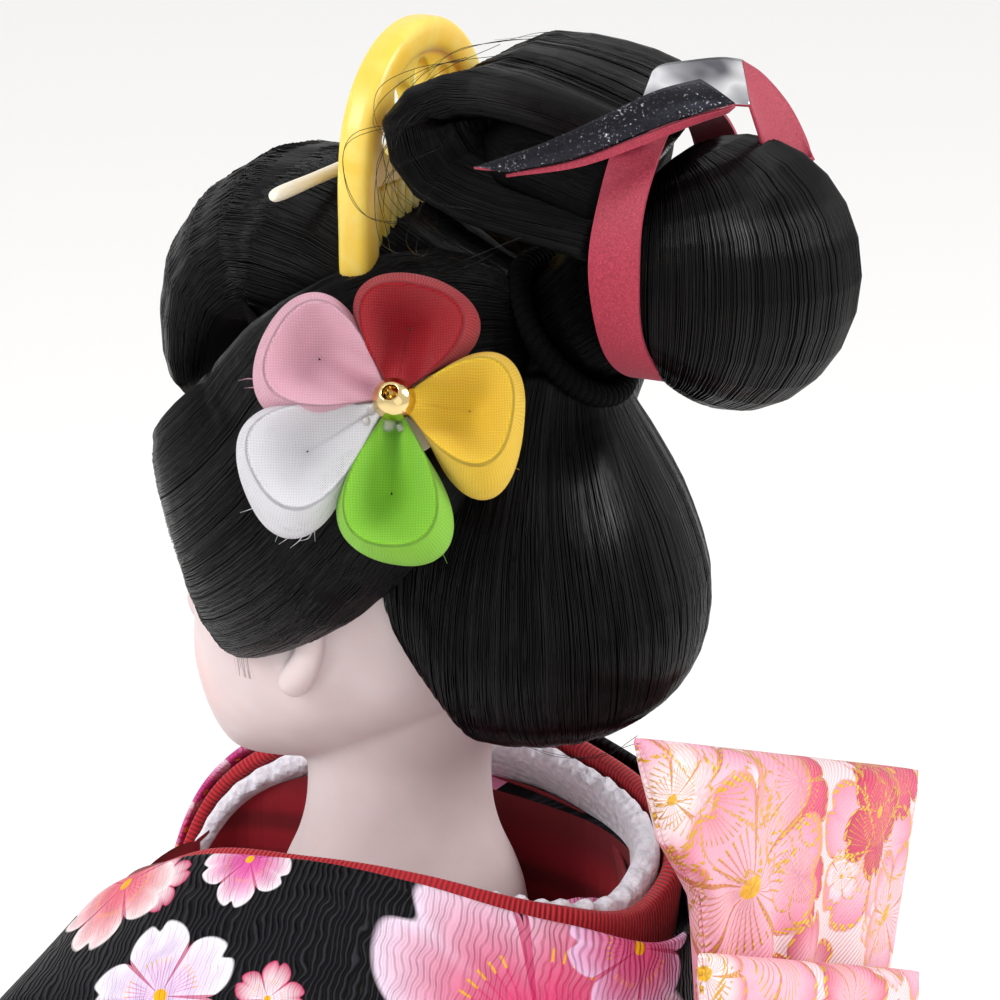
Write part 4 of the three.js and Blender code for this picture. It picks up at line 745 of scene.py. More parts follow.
    # Fine strokes of the painted hairline before the ears
    stroke = noise(tree, vectors(tree, "MULTIPLY", inMm, (0.3, 5.2, 0.14)), 1.0, 2.0)
    temple = addNode(
        tree, "ShaderNodeMapRange", {"Value": z, "From Min": 22.0, "From Max": 20.5}, clamp=True,
    )
    beside = addNode(
        tree, "ShaderNodeMapRange", {"Value": x, "From Min": 13.5, "From Max": 15.5}, clamp=True,
    )
    short = calc(
        "MULTIPLY", calc("GREATER_THAN", z, 17.4),
        calc("LESS_THAN", calc("ABSOLUTE", calc("ADD", y, 7.6)), 1.1),
    )
    ink = calc(
        "MULTIPLY", calc("MULTIPLY", calc("MULTIPLY", temple.outputs[0], beside.outputs[0]), short),
        calc("GREATER_THAN", stroke.outputs[0], 0.54),
    )
    colour = over(colour, calc("MULTIPLY", ink, 0.55), "#5c5458")
    feed(shader, "Base Color", colour)
    return finish


faceSkin, handSkin = gofunSkin(True), gofunSkin(False)
headSections = [
    (4.2, 3.6, 3.4, 4.5, -14.2, 2), (5.8, 7.6, 6.6, 8, -11.6, 2.2), (9.7, 12.6, 11.6, 12.4, -7.6, 2.2),
    (15.2, 16.4, 15.6, 15.8, -4.4, 2.2), (22.2, 18.6, 17.6, 18.2, -2.4, 2.2),
    (29.2, 19.2, 20.4, 19, -1.6, 2.2),
    (36.5, 17.8, 18, 18.2, -1.6, 2.2), (42.5, 14.6, 14.2, 15, -1.6, 2.2), (45.5, 8.4, 8.2, 8.6, -1.6, 2.2),
    (46.5, 2.4, 2.4, 2.4, -1.6, 2.2),
]
neckProfile = [
    (0.2, -15), (12.6, -15), (12.6, -9.5), (11.7, -6.6), (10.1, -2.9), (9.3, 0.6), (9.2, 6), (9.9, 14),
    (0.2, 15),
]


def latheRings(profile, rows, columns, smoothly=True):
    ts = np.linspace(0, 1, rows)
    p = alongCurve(
        [(r, 0, z) for r, z in profile], ts
    ) if smoothly else np.array([(r, 0, z) for r, z in profile])
    angle = turns(columns)
    return np.stack([p[:, :1] * np.cos(angle), p[:, :1] * np.sin(angle), p[:, 2:] + 0 * angle], axis=2)


nose = {
    "path": [(0, -18.2, 25.4), (0, -19.7, 21.4), (0, -21.6, 17.9), (0, -19.4, 15.9)],
    "side": [ahead] * 4, "width": [1.0, 1.2, 1.9, 1.3], "outer": [0.3, 0.5, 1.0, 0.6],
    "inner": [1.5, 2, 2.6, 1.8],
}


def lipForm(z, width, height):
    return {
        "path": [(-width, -16.6, z), (0, -18.4, z), (width, -16.6, z)], "side": [(0, 0, -1)] * 3,
        "width": [height * 0.5, height, height * 0.5], "outer": [0.4, 0.8, 0.4], "inner": [1.2] * 3,
        "startRound": 0.3, "endRound": 0.3,
    }


def earForm(hand, part):
    shapes = {
        "rim": ([
            (16.6, -2.2, 17.2), (18.8, -1.2, 18.4), (20.4, 1.4, 22.4), (20.2, 1.6, 27), (18.6, -1.4, 28.4),
            (17.6, -2.8, 25),
        ],
                [1.2, 1.7, 1.5, 1.3, 1.1, 0.7]),
        "bowl": ([(16.6, -2.2, 17.6), (18, -1.2, 19.6), (18.6, 0, 23), (18, -0.2, 26)], [1.4, 2.4, 3, 2.2]),
    }
    path, width = shapes[part]
    return {
        "path": [(hand * x, y, z) for x, y, z in path], "side": [(0, hand, 0)] * len(path), "width": width,
        "outer": [w * (0.8 if part == "rim" else 0.34) for w in width], "inner": [1.2] * len(width),
        "startRound": 0.3, "endRound": 0.3,
    }


# Forms that overlap become one skin: a voxel remesh, then smoothing over its steps.
def fused(name, parts, voxel, smoothing):
    body = joined(*parts)
    body.name = name
    body.data.name = name
    modified(body, "REMESH", mode="VOXEL", voxel_size=voxel * mm, use_smooth_shade=True)
    modified(body, "SMOOTH", factor=0.5, iterations=smoothing)
    return applied(body)


eyeHollow = {"depth": 1.0, "x": 7.2, "z": 22.6, "spreadX": 4.2, "spreadZ": 3.2}
headParts = [
    loft("head_skin", levelRings(headSections, 70, 140), faceSkin),
    loft("neck_form", latheRings(neckProfile, 60, 96), faceSkin),
    loft("nose_form", lockRings(nose, 24, 28), faceSkin),
    loft("upper_lip_form", lockRings(lipForm(12.0, 2.6, 0.75), 20, 16), faceSkin),
    loft("lower_lip_form", lockRings(lipForm(10.4, 2.0, 0.9), 20, 16), faceSkin),
]
for hand in (1, -1):
    for part in ("rim", "bowl"):
        headParts.append(loft(f"ear_{part}_form", lockRings(earForm(hand, part), 24, 16), faceSkin))
headSkin = fused("head_skin", headParts, 0.42, 5)
for vertex in headSkin.data.vertices:
    x, y, z = (vertex.co / mm) - Vector((0, 0, neckZ))
    if y < -9 and 14 < z < 32:
        reach = (
            (abs(x) - eyeHollow["x"]) / eyeHollow["spreadX"]
        ) ** 2 + ((z - eyeHollow["z"]) / eyeHollow["spreadZ"]) ** 2
        vertex.co.y += eyeHollow["depth"] * math.exp(-reach) * mm
dressed(headSkin, "head", "gofun", "head")
print("head made")


# Topknot: the stem through the twisted cord, and the lining of hair inside the loop
tie = {"at": (0, 19, 51.5), "slope": 38, "ring": 7.4, "stem": 6.1, "twists": 56}
slope = math.radians(tie["slope"])
tieAxis = np.array((0, math.cos(slope), math.sin(slope)))
stemPath = [tuple(np.array(tie["at"]) + tieAxis * d) for d in (-7, -3, 0, 4, 8, 13)]
stemRings = tubeRings(stemPath, [8.4, 7, tie["stem"], 6.3, 7.4, 9.5], 40, 80, up=ahead)
stem = dressed(
    loft("topknot_stem_mass", bundled(stemRings, 12, 0.15, 7), combed), "head", "dressed_hair",
    "topknot_stem",
)
layStrands("topknot_stem_strands", stem, {"Count": 900, "Steps": 10, "Seed": 8})
fillForm = {
    "path": [(0, 11, 69.6), (0, 15, 69.2), (0, 20, 68), (0, 26.5, 66)], "side": [ahead] * 4,
    "width": [7.4, 8.6, 8.4, 8], "outer": [2.6, 4.2, 4.6, 5.4], "inner": [2.6, 4.2, 4.6, 5.2],
    "startRound": 0.4,
    "endRound": 0.1, "power": 2.6,
}
dressed(
    loft("topknot_inner_mass", bundled(lockRings(fillForm, 50, 80), 10, 0.1, 9), combed), "head",
    "dressed_hair",
)


# Two plies twisted round a ring: black cotton cord, matt and fuzzy, with its lay showing
cord = grained(
    "twisted_cotton_cord", 1.0, [(0.3, "#030304"), (0.8, "#0c0b0d")], 0.1, stretch=(900, 8, 1), onUv=True,
    Roughness=0.8,
    Specular_IOR_Level=0.06,
)
upTie = np.array((0, -math.sin(slope), math.cos(slope)))


def plyRings(phase, rows=560, columns=10):
    turn = turns(rows)
    outwards = np.cos(turn)[:, None] * np.array(ahead) + np.sin(turn)[:, None] * upTie
    lay = tie["twists"] * turn / 2 + phase
    ring = np.array(tie["at"]) + tie["ring"] * outwards
    centre = ring + 0.5 * (np.cos(lay)[:, None] * outwards + np.sin(lay)[:, None] * tieAxis)
    along = unit(np.roll(centre, -1, axis=0) - np.roll(centre, 1, axis=0))
    side = unit(np.cross(along, tieAxis))
    tube = roundTube(centre, 0.66, side, np.cross(along, side), columns)
    return np.concatenate([tube, tube[:1]])


plies = [loft("hair_tie_cord", plyRings(p), cord, capped=False) for p in (0, math.pi)]
dressed(joined(*plies), "head", "tie_cord", "hair_tie")


# Paper of the topknot: crimson mulberry paper, felted fibres and a faint nap; the bow's face is metal foil
redPaper = grained(
    "crimson_mulberry_paper", 5200.0, [(0.3, "#7c0f27"), (0.5, "#9d1f39"), (0.72, "#ba3b54")], 0.05, 0.6,
    3.0,
    grain={"Roughness": 0.8}, Roughness=0.6, Sheen_Weight=0.1,
)


def silverFoil():
    finish, tree, shader = newFinish("silver_foil_paper", Metallic=1.0)
    spot = objectPlace(tree)
    crease = noise(tree, spot, 130.0, 2.0)
    dust = noise(tree, spot, 4200.0, 2.0)
    rough = addNode(tree, "ShaderNodeMapRange", {"Value": dust, "To Min": 0.12, "To Max": 0.24})
    feed(shader, "Roughness", rough)
    tone = ramp(tree, crease, [(0.38, "#6e6e75"), (0.47, "#c9c9cd"), (0.55, "#f6f6f8"), (0.66, "#a5a5ab")])
    feed(shader, "Base Color", tone)
    bumped(tree, shader, crease, 0.1, 0.5)
    return finish


# Foil with a painted dark reflection: coloured nearly black, as it looks where it faces a dark side of the
# room, with pale specks of dust and worn spots
def darkReflectionFoil():
    finish, tree, shader = newFinish("silver_foil_paper_painted_dark_reflection", Metallic=1.0)
    spot = objectPlace(tree)
    dust = noise(tree, spot, 3800.0, 2.0)
    crease = noise(tree, spot, 260.0, 2.0)
    mixed = maths(tree, "MULTIPLY_ADD", crease, 0.35, dust)
    # painted reflection: mostly near-black foil colour, pale where the specks rise
    colour = ramp(tree, mixed, [(0.0, "#17171b"), (0.8, "#2d2d33"), (0.9, "#8d8d94"), (0.96, "#f2f2f4")])
    feed(shader, "Base Color", colour)
    feed(
        shader, "Roughness", addNode(
            tree, "ShaderNodeMapRange", {"Value": dust, "To Min": 0.2, "To Max": 0.5},
        ),
    )
    bumped(tree, shader, crease, 0.1, 0.5)
    return finish


foil, foilPaintedDark = silverFoil(), darkReflectionFoil()
band = {"y": bandY, "width": 4.7, "halfWidth": 11.9, "halfHeight": 12.7, "z": 61, "thick": 0.35}


def bandRings(rows=160):
    turn = turns(rows)
    rings = []
    for side, out in ((-1, 0.05), (1, 0.05), (1, band["thick"]), (-1, band["thick"])):
        wave = 0.12 * np.sin(3 * turn + side) + 0.08 * np.sin(7 * turn + 2 * side)
        x = (band["halfWidth"] + out) * np.cos(turn)
        z = (band["halfHeight"] + out) * np.sin(turn) + band["z"]
        rings.append(np.stack([x, band["y"] + side * band["width"] / 2 + wave, z], axis=1))
    ring = np.stack(rings, axis=1)
    return np.concatenate([ring, ring[:1]])


paperBand = loft("paper_band_strip", bandRings(), redPaper, capped=False, smooth=False)
dressed(paperBand, "head", "red_paper", "paper_band")


# A strip of two-sided paper between two edges, each a list of (pixel x, pixel y, depth towards the camera)
def paperStrip(name, edgeA, edgeB, face, faceUp=True, rows=48, columns=10, thick=0.28, cup=0.0):
    ts = np.linspace(0, 1, rows)
    a, b = (alongCurve([atPixel(p[:2], p[2]) for p in edge], ts) for edge in (edgeA, edgeB))
    share = np.linspace(0, 1, columns)[None, :, None]
    sheet = a[:, None] * (1 - share) + b[:, None] * share
    sheet = sheet - np.array(backward) * (cup * np.sin(np.pi * share))
    made = loft(name, sheet[:, ::-1] if faceUp else sheet, face, closed=False)
    made.data.materials.append(redPaper)
    modified(made, "SOLIDIFY", thickness=thick * mm, offset=0, material_offset=1, material_offset_rim=1)
    return applied(made)


bowPieces = [
    paperStrip("bow_tail", [
        (700, 80, 40.5), (655, 92, 43.5), (600, 118, 45.5), (545, 143, 46.2), (474, 168, 46),
    ],
               [(735, 104, 42), (690, 116, 43.6), (640, 134, 45.4), (576, 158, 46), (506, 173, 46.2)],
               foilPaintedDark, cup=-0.5),
    paperStrip("bow_tail_under", [
        (735, 106, 41.6), (690, 118, 43.2), (640, 136, 45), (576, 160, 45.6), (506, 174, 45.9),
    ],
               [(728, 112, 41), (686, 127, 42.6), (640, 146, 44.6), (578, 167, 45.4), (506, 177, 45.8)],
               redPaper),
    paperStrip("bow_plate", [(741, 60, 36), (722, 58, 37), (690, 61, 38), (660, 66, 39), (652, 72, 39.6)],
               [(750, 106, 40), (728, 105, 40.6), (695, 106, 41.4), (655, 105, 42), (641, 102, 42)], foil),
    paperStrip("bow_loop", [
        (741, 60, 36), (762, 74, 34.5), (788, 104, 33.5), (806, 138, 33), (814, 160, 33),
    ],
               [(750, 106, 40), (757, 128, 39.5), (765, 150, 38.5), (780, 162, 36.5), (808, 168, 34)],
               redPaper, faceUp=False, cup=0.8),
    paperStrip(
        "bow_fold", [(765, 148, 38), (784, 156, 36), (812, 158, 33.2)],
        [(772, 156, 38.4), (784, 166, 36.6), (810, 169, 34)], foil,
    ),
]
dressed(joined(*bowPieces), "head", "silver_paper", "paper_bow")
print("topknot bound")

# Flower: five folded petals of thin crepe round a gilt bead. Its own axes are X right, Y up and Z out.
flower = {"at": (24, 12.8, 49.8), "facing": (0.84, 0.43, 0.33), "pitch": 0.17, "cloth": 0.16}
flowerOut = unit(flower["facing"])
flowerRight = unit(np.cross((0, 0, 1), flowerOut))
flowerUp = np.cross(flowerOut, flowerRight)


def onFlower(points):
    p = np.asarray(points, float)
    return np.array(flower["at"]) + p[..., :1] * flowerRight + p[..., 1:2] * flowerUp + p[..., 2:] * flowerOut


# Thin plain-woven crepe: two sets of threads cross, light comes through the holes between them
def wovenCrepe(name, warp, weft, hole, glow):
    finish, tree, shader = newFinish(name, Roughness=0.75, Sheen_Weight=0.2, Specular_IOR_Level=0.2)
    uv = uvPlace(tree)
    turned = addNode(
        tree, "ShaderNodeVectorRotate", {"Vector": uv, "Angle": math.radians(45)}, rotation_type="Z_AXIS",
    )
    drift = noise(tree, turned, 0.6, 1.0)
    shift = vectors(tree, "MULTIPLY_ADD", drift.outputs["Color"], (0.35, 0.35, 0), turned)
    cells = vectors(tree, "SCALE", shift, Scale=math.pi / flower["pitch"])
    axes = addNode(tree, "ShaderNodeSeparateXYZ", {0: cells})

    calc = partial(maths, tree)
    across = calc("ABSOLUTE", calc("SINE", axes.outputs[0]))
    along = calc("ABSOLUTE", calc("SINE", axes.outputs[1]))
    over = calc(
        "GREATER_THAN", calc("MULTIPLY", calc("COSINE", axes.outputs[0]), calc("COSINE", axes.outputs[1])),
        0.0,
    )
    height = calc(
        "MAXIMUM", calc("MULTIPLY", across, calc("ADD", over, 0.6)),
        calc("MULTIPLY", along, calc("SUBTRACT", 1.6, over)),
    )
    woven = laidOver(tree, warp, over, weft)
    sunk = addNode(
        tree, "ShaderNodeMapRange", {"Value": height, "From Min": 0.5, "From Max": 1.5, "To Min": 0.35},
    )
    shaded = addNode(tree, "ShaderNodeGamma", {0: woven, 1: 1.5}).outputs[0]
    mixed = laidOver(tree, shaded, sunk, woven)
    feed(shader, "Base Color", mixed)
    cover = calc("GREATER_THAN", calc("MAXIMUM", across, along), hole)
    feed(shader, "Alpha", cover)
    bumped(tree, shader, height, 0.06, 0.8)
    through = addNode(tree, "ShaderNodeBsdfTranslucent", {"Color": mixed})
    hidden = addNode(tree, "ShaderNodeBsdfTransparent")
    open_ = addNode(tree, "ShaderNodeMixShader", {0: cover, 1: hidden, 2: through})
    both = addNode(tree, "ShaderNodeMixShader", {0: glow, 1: shader, 2: open_})
    tree.links.new(both.outputs[0], tree.nodes["Material Output"].inputs["Surface"])
    return finish


# Each petal: direction in degrees, length, half width, flare of its outer wall, and how far its rim stands up
petals = {
    "petal_green": {
        "turn": -92, "length": 14, "half": 4.3, "crease": -1.6, "neck": 0.24, "low": 1.5,
        "flare": (1.0, -1.0),
        "rim": 2.7, "cloth": ("#8fd63a", "#a8e04a", 0.3, 0.25),
    },
    "petal_white": {
        "turn": 210, "length": 15.2, "half": 4.9, "crease": 1.2, "neck": 0.04, "low": 0.3,
        "flare": (-0.2, -1.9),
        "rim": 2.6, "cloth": ("#f3f1f7", "#ffffff", 0.52, 0.4),
    },
    "petal_pink": {
        "turn": 151, "length": 13, "half": 5, "crease": -1.4, "neck": 0.14, "low": 0.9,
        "flare": (-0.4, -1.3),
        "rim": 2.6, "cloth": ("#f3bdd0", "#fbd9e4", 0.5, 0.35),
    },
    "petal_red": {
        "turn": 78, "length": 11.2, "half": 4.9, "crease": 2.0, "neck": 0.2, "low": 1.4,
        "flare": (1.0, -0.6),
        "rim": 2.6, "cloth": ("#9c0d1c", "#c0182b", 0.3, 0.2),
    },
    "petal_yellow": {
        "turn": -8, "length": 11.4, "half": 5, "crease": 2.0, "neck": 0.2, "low": 1.2, "flare": (0.1, -2.6),
        "rim": 3.0, "cloth": ("#f8cf22", "#ffe560", 0.34, 0.3),
    },
}


# A cupped petal: rows run from the hollow's floor up to the rim and down the outer wall
def petalRings(form, inside=26, outside=14, columns=120):
    turn = math.radians(form["turn"])
    out, side = np.array((math.cos(turn), math.sin(turn))), np.array((math.sin(turn), -math.cos(turn)))
    angle = turns(columns) - np.pi
    focus, length = 0.6, form["length"]
    # teardrop rim: broad past the middle, drawn to a point at the flower's centre
    tip = np.clip((1 + np.cos(angle)) / 2, 0, 1)
    alongRim = length * (0.06 + 0.87 * tip**0.92)
    halfRim = form["half"] * np.sin(np.abs(angle)) ** 0.85 * (
        form["neck"] + (1 - form["neck"]) * tip**0.65
    ) * 1.22
    rimXY = alongRim[:, None] * out + (np.sign(angle) * halfRim)[:, None] * side
    rimZ = form["low"] + (form["rim"] + 1.2 - form["low"]) * tip**0.5 * (1 - 0.3 * tip**6)
    focusXY = focus * length * out
    inner = np.linspace(0.02, 1, inside)[:, None]
    xy = focusXY + (rimXY - focusXY) * inner[..., None]
    floorZ = -1.3 + 0.3 * (1 - inner)
    z = floorZ + (rimZ - floorZ) * inner**1.5
    offAxis = np.abs(xy @ side)
    near = np.clip(1 - (xy @ out) / (0.75 * length), 0, 1)
    z = z + form["crease"] * near**0.6 * np.exp(-((offAxis / 0.7) ** 2)) * inner - 0.9 * near * np.exp(
        -(((offAxis - 1.9) / 0.7) ** 2)
    )
    bowl = np.concatenate([xy, z[..., None]], axis=2)
    down = np.linspace(0, 1, outside + 1)[1:, None]
    outwards = unit(rimXY - focusXY)
    share = np.clip(outwards @ unit(form["flare"]), 0, 1) * tip**0.3
    wallXY = rimXY + (outwards * 1.1 * tip[:, None] ** 0.7)[None] * np.sin(down * np.pi * 0.6)[..., None]
    wallXY = wallXY + (focusXY - rimXY)[None] * (0.3 * down * (1 - tip) ** 2)[..., None]
    wallXY = wallXY + (np.array(form["flare"])[None, None] * (share[None] * down)[..., None])
    wallZ = rimZ - (rimZ + 0.9) * down
    wall = np.concatenate([wallXY, wallZ[..., None]], axis=2)
    return np.concatenate([bowl, wall], axis=0), inside


# UV of a petal in mm: laid flat inside, and round the rim and down outside
def petalUv(rings, inside):
    flat = rings[..., :2].copy()
    around = np.concatenate([[0], np.cumsum(np.linalg.norm(np.diff(rings[inside - 1], axis=0), axis=1))])
    for i in range(inside, len(rings)):
        flat[i, :, 0] = around
        flat[i, :, 1] = (i - inside + 1) * 0.32
    return flat


def fabricSheet(name, rings, uv, finish, thick):
    made = loft(name, rings, finish, capped=False)
    rows, columns, _ = rings.shape
    table = []
    for i in range(rows - 1):
        for j in range(columns):
            k = (j + 1) % columns
            table += [uv[i, j], uv[i, k], uv[i + 1, k], uv[i + 1, j]]
    made.data.uv_layers["UVMap"].data.foreach_set("uv", np.asarray(table, np.float32).ravel())
    modified(made, "SOLIDIFY", thickness=thick * mm, offset=0)
    return applied(made)


# Loose ends of thread, each a fine bent tube
def looseThreads(name, paths, radius, finish, steps=18):
    tubes = [
        loft(
            name, tubeRings(path, [radius, radius, radius * 0.4], steps, 5, up=(0.3, 0.5, 0.8)), finish,
        ) for path in paths
    ]
    return joined(*tubes)


backing = loft("flower_backing_disc", onFlower(
    latheRings([(0.05, -2.65), (5.1, -2.65), (5.2, -2.2), (5.1, -1.75), (0.05, -1.75)], 24, 64, False)
),
               newFinish("plain_backing_card", Base_Color="#efe6d2", Roughness=0.9)[0])
dressed(backing, "flower", "backing_card", "flower_backing")
pinRings = latheRings([(0.05, -13.9), (0.7, -13.9), (0.7, -2.95), (0.05, -2.95)], 12, 24, False)
pin = loft(
    "flower_pin_wire", onFlower(pinRings),
    newFinish("drawn_steel_wire", Base_Color="#9b9da1", Metallic=1.0, Roughness=0.35)[0],
)
dressed(pin, "flower", "steel_wire", "flower_pin")
frays = {
    "petal_yellow": [(6.4, -6.6), (7.2, -6.3), (8.0, -6.2), (8.8, -5.6), (9.6, -5.2), (5.6, -6.2)],
    "petal_green": [(4.4, -12.4), (4.8, -11.6), (5.0, -10.8), (4.0, -13.0)],
    "petal_white": [
        (-9.4, -12.2), (-8.6, -12.6), (-7.8, -12.4), (-7.2, -11.6), (-10.2, -11.4), (-12.6, -9.6),
    ],
    "petal_pink": [(-12.8, 1.2), (-13.2, 2.0)],
}
frayChance = random.Random(4)
for name, form in petals.items():
    rings, inside = petalRings(form)
    crepe = wovenCrepe(name.replace("petal_", "") + "_crepe", *form["cloth"])
    sheet = fabricSheet(name + "_cloth", onFlower(rings), petalUv(rings, inside), crepe, flower["cloth"])
    dressed(sheet, "flower", name + "_cloth", name)
    ends = []
    for x, y in frays.get(name, []):
        away = unit((x, y)) * frayChance.uniform(0.6, 1.5)
        bend = frayChance.uniform(-0.5, 0.5)
        ends.append(
            onFlower(
                [
                    (x - away[0], y - away[1], 0.2), (x, y, -0.3),
                    (x + away[0] + bend, y + away[1] - bend, -0.5),
                ]
            )
        )
    if ends:
        dressed(looseThreads(name + "_frays", ends, 0.045, crepe), "flower", name + "_cloth")
beadProfile = [
    (0.05, -1.0), (0.62, -1.0), (0.66, 1.5), (0.84, 1.8), (1.25, 1.56), (1.7, 1.05), (2, 0), (1.7, -1.05),
    (1.0, -1.73), (0.05, -2),
]
gilt = newFinish("polished_gilt", Base_Color="#ddc48c", Metallic=1.0, Roughness=0.08)[0]
beadRings = latheRings(beadProfile, 80, 64)
beadTurn = Vector((0, 0, 1)).rotation_difference(Vector((-0.22, 0.36, 1)))
beadRings = (
    beadRings.reshape(-1, 3) @ np.array(beadTurn.to_matrix()).T
).reshape(beadRings.shape) + (0, 0, 2.7)
dressed(loft("flower_bead_gilt", onFlower(beadRings), gilt), "flower", "gold_bead", "flower_bead")
glue = newFinish("clear_dried_glue", Base_Color="#fbf4f0", Roughness=0.12, Transmission_Weight=0.8)[0]
drops = []
for x, y, size in (
    (-1.9, -0.8, 0.7), (-0.6, -2.1, 0.8), (1.7, -1.2, 0.6), (0.6, -2.4, 0.5), (-2.5, -1.9, 0.45),
):
    drop = latheRings(
        [(0.02, -size), (size * 0.9, -size * 0.5), (size, 0), (size * 0.8, size * 0.6), (0.02, size)], 12,
        20,
    )
    drops.append(loft("flower_glue", onFlower(drop + (x, y, 1.0)), glue))
dressed(joined(*drops), "flower", "backing_card")
print("flower folded")


# Comb: moulded celluloid, cloudy amber that lets some light in, with a soft gloss and faint flow lines
amber = grained(
    "amber_celluloid", 160.0, [(0.3, "#fccb45"), (0.7, "#ffe07a")], 0.08, 0.5, 3.0,
    grain={"Distortion": 1.2}, Roughness=0.32,
    Transmission_Weight=0.12, Subsurface_Weight=0.6, Subsurface_Scale=0.003,
    Subsurface_Radius=(1.0, 0.8, 0.35), IOR=1.5,
)
comb = {"y": 2.2, "half": 12.9, "top": 79.6, "foot": 56.4, "rim": 3.4, "rimThick": 3.3, "plateThick": 1.7,
        "teeth": 12, "toothTip": 52.4, "toothRoot": 65}
combArcZ = comb["top"] - comb["half"]
rimRadius = comb["half"] - comb["rim"] / 2
arc = np.linspace(0, np.pi, 9)
rimPath = [
    (rimRadius - 0.9, comb["y"], comb["foot"] - 2.4), (rimRadius - 0.1, comb["y"], comb["foot"] + 1.2),
    (rimRadius, comb["y"], 61),
]
rimPath += [(rimRadius * math.cos(a), comb["y"], combArcZ + rimRadius * math.sin(a)) for a in arc]
rimPath += [(-x, y, z) for x, y, z in rimPath[2::-1]]
rimForm = {
    "path": rimPath, "side": [(0, 1, 0)] * len(rimPath), "width": comb["rimThick"] / 2,
    "outer": comb["rim"] / 2,
    "inner": comb["rim"] / 2, "power": 3.6, "startRound": 0.012, "endRound": 0.012,
}
innerRadius = comb["half"] - comb["rim"]


def combPlate(rows=60):
    # Rows go up the plate, each ring a thin rectangle from one side to the other
    z = np.linspace(comb["toothRoot"], combArcZ + innerRadius + 0.3, rows)
    half = np.sqrt(np.maximum((innerRadius + 0.5) ** 2 - np.maximum(z - combArcZ, 0) ** 2, 0.04))
    y = comb["plateThick"] / 2
    corners = [(half, -y), (half, y), (-half, y), (-half, -y)]
    return np.stack([np.stack([x, comb["y"] + dy + 0 * z, z], axis=1) for x, dy in corners], axis=1)


combParts = [
    loft("comb_celluloid", lockRings(rimForm, 150, 40), amber), loft("comb_plate", combPlate(), amber),
]
holeRing = innerRadius * 0.62
holes = [
    (
        holeRing * math.cos(math.radians(d)), combArcZ + 0.9 + holeRing * math.sin(math.radians(d)), d,
        2.2, 1.5,
    ) for d in (14, 52, 90, 128, 166)
]
holes.append((0, combArcZ + 0.9, 0, 1.9, 1.9))
cutters = []
for x, z, turn, long, short in holes:
    a = np.linspace(0, 2 * np.pi, 24, endpoint=False)
    c, s = math.cos(math.radians(turn)), math.sin(math.radians(turn))
    ringX = x + long * np.cos(a) * c - short * np.sin(a) * s
    ringZ = z + long * np.cos(a) * s + short * np.sin(a) * c
    cutters.append(
        loft(
            "comb_hole", np.stack(
                [np.stack([ringX, comb["y"] + 0 * a + dy, ringZ], axis=1) for dy in (-3, 3)]
            ), amber, smooth=False
        )
    )
cutter = joined(*cutters)
modified(combParts[1], "BOOLEAN", object=cutter, operation="DIFFERENCE", solver="EXACT")
applied(combParts[1])
bpy.data.objects.remove(cutter)
pitch = 2 * innerRadius / (comb["teeth"] + 1)
for i in range(comb["teeth"]):
    x = -innerRadius + pitch * (i + 1)
    rings = [np.array(
        [(x + a * w, comb["y"] + b * w * 1.15, z) for a, b in ((1, 1), (-1, 1), (-1, -1), (1, -1))]
    )
             for z, w in (
                 (comb["toothRoot"] + 0.6, 0.55), (60, 0.5), (comb["toothTip"] + 0.6, 0.32),
                 (comb["toothTip"], 0.12),
             )]
    combParts.append(loft("comb_tooth", np.array(rings), amber))
dressed(fused("comb_celluloid", combParts, 0.17, 3), "comb", "comb_celluloid", "comb")
rodProfile = [
    (0.03, -18.2), (0.4, -18.05), (0.6, -17.6), (0.62, -10), (0.62, 10), (0.6, 17.6), (0.4, 18.05),
    (0.03, 18.2),
]
rodRings = latheRings(rodProfile, 60, 28)
rodRings = rodRings[..., [2, 0, 1]] + (0, -3, 65.6)
bone = newFinish(
    "ivory_resin", Base_Color="#efe9d6", Roughness=0.4, Subsurface_Weight=0.15, Subsurface_Scale=0.001,
)[0]
dressed(loft("hair_rod_resin", rodRings, bone), "hairpin", "rod_bone", "hair_rod")
print("comb and rod made")

# Fly-away hairs that loop out of the topknot over the comb
looseHairs = [
    [(432, 120), (352, 138), (350, 175), (372, 214), (425, 223), (476, 222)],
    [(430, 100), (378, 165), (382, 230), (400, 254), (446, 252)],
    [(440, 180), (415, 210), (412, 235), (420, 256), (432, 250), (440, 214)],
    [(470, 60), (420, 66), (384, 92), (378, 120), (400, 150)],
    [(500, 50), (440, 70), (398, 104), (386, 150), (400, 190), (440, 215)],
    [(520, 240), (470, 262), (430, 270), (400, 262)],
    [(560, 40), (500, 36), (450, 52), (412, 84)],
    [(450, 90), (404, 120), (388, 160), (396, 200), (430, 232), (480, 240)],
    [(620, 60), (560, 38), (500, 40)], [(440, 150), (396, 168), (384, 196), (394, 226), (424, 240)],
    [(300, 590), (310, 600), (326, 604), (340, 596)], [(268, 566), (262, 590), (270, 604), (288, 600)],
    [(214, 372), (196, 420), (190, 470), (196, 520)], [(640, 740), (600, 752), (560, 752), (520, 742)],
    [(300, 575), (320, 588), (348, 592), (372, 582)],
    [(470, 210), (430, 200), (402, 176), (398, 140), (420, 104)],
]
hairChance = random.Random(12)
strays = []
for trail in looseHairs:
    for copy in range(2):
        jitter = [(hairChance.uniform(-6, 6), hairChance.uniform(-6, 6)) for _ in trail]
        near = [36.5 + 2.5 * math.sin(2.2 * i + copy) for i in range(len(trail))]
        if trail[0][1] > 300:
            near = [n - 14 for n in near]
        strays.append([atPixel((x + jx, y + jy), n) for (x, y), (jx, jy), n in zip(trail, jitter, near)])
dressed(looseThreads("loose_hairs", strays, 0.032, thread, 40), "head", "dressed_hair")

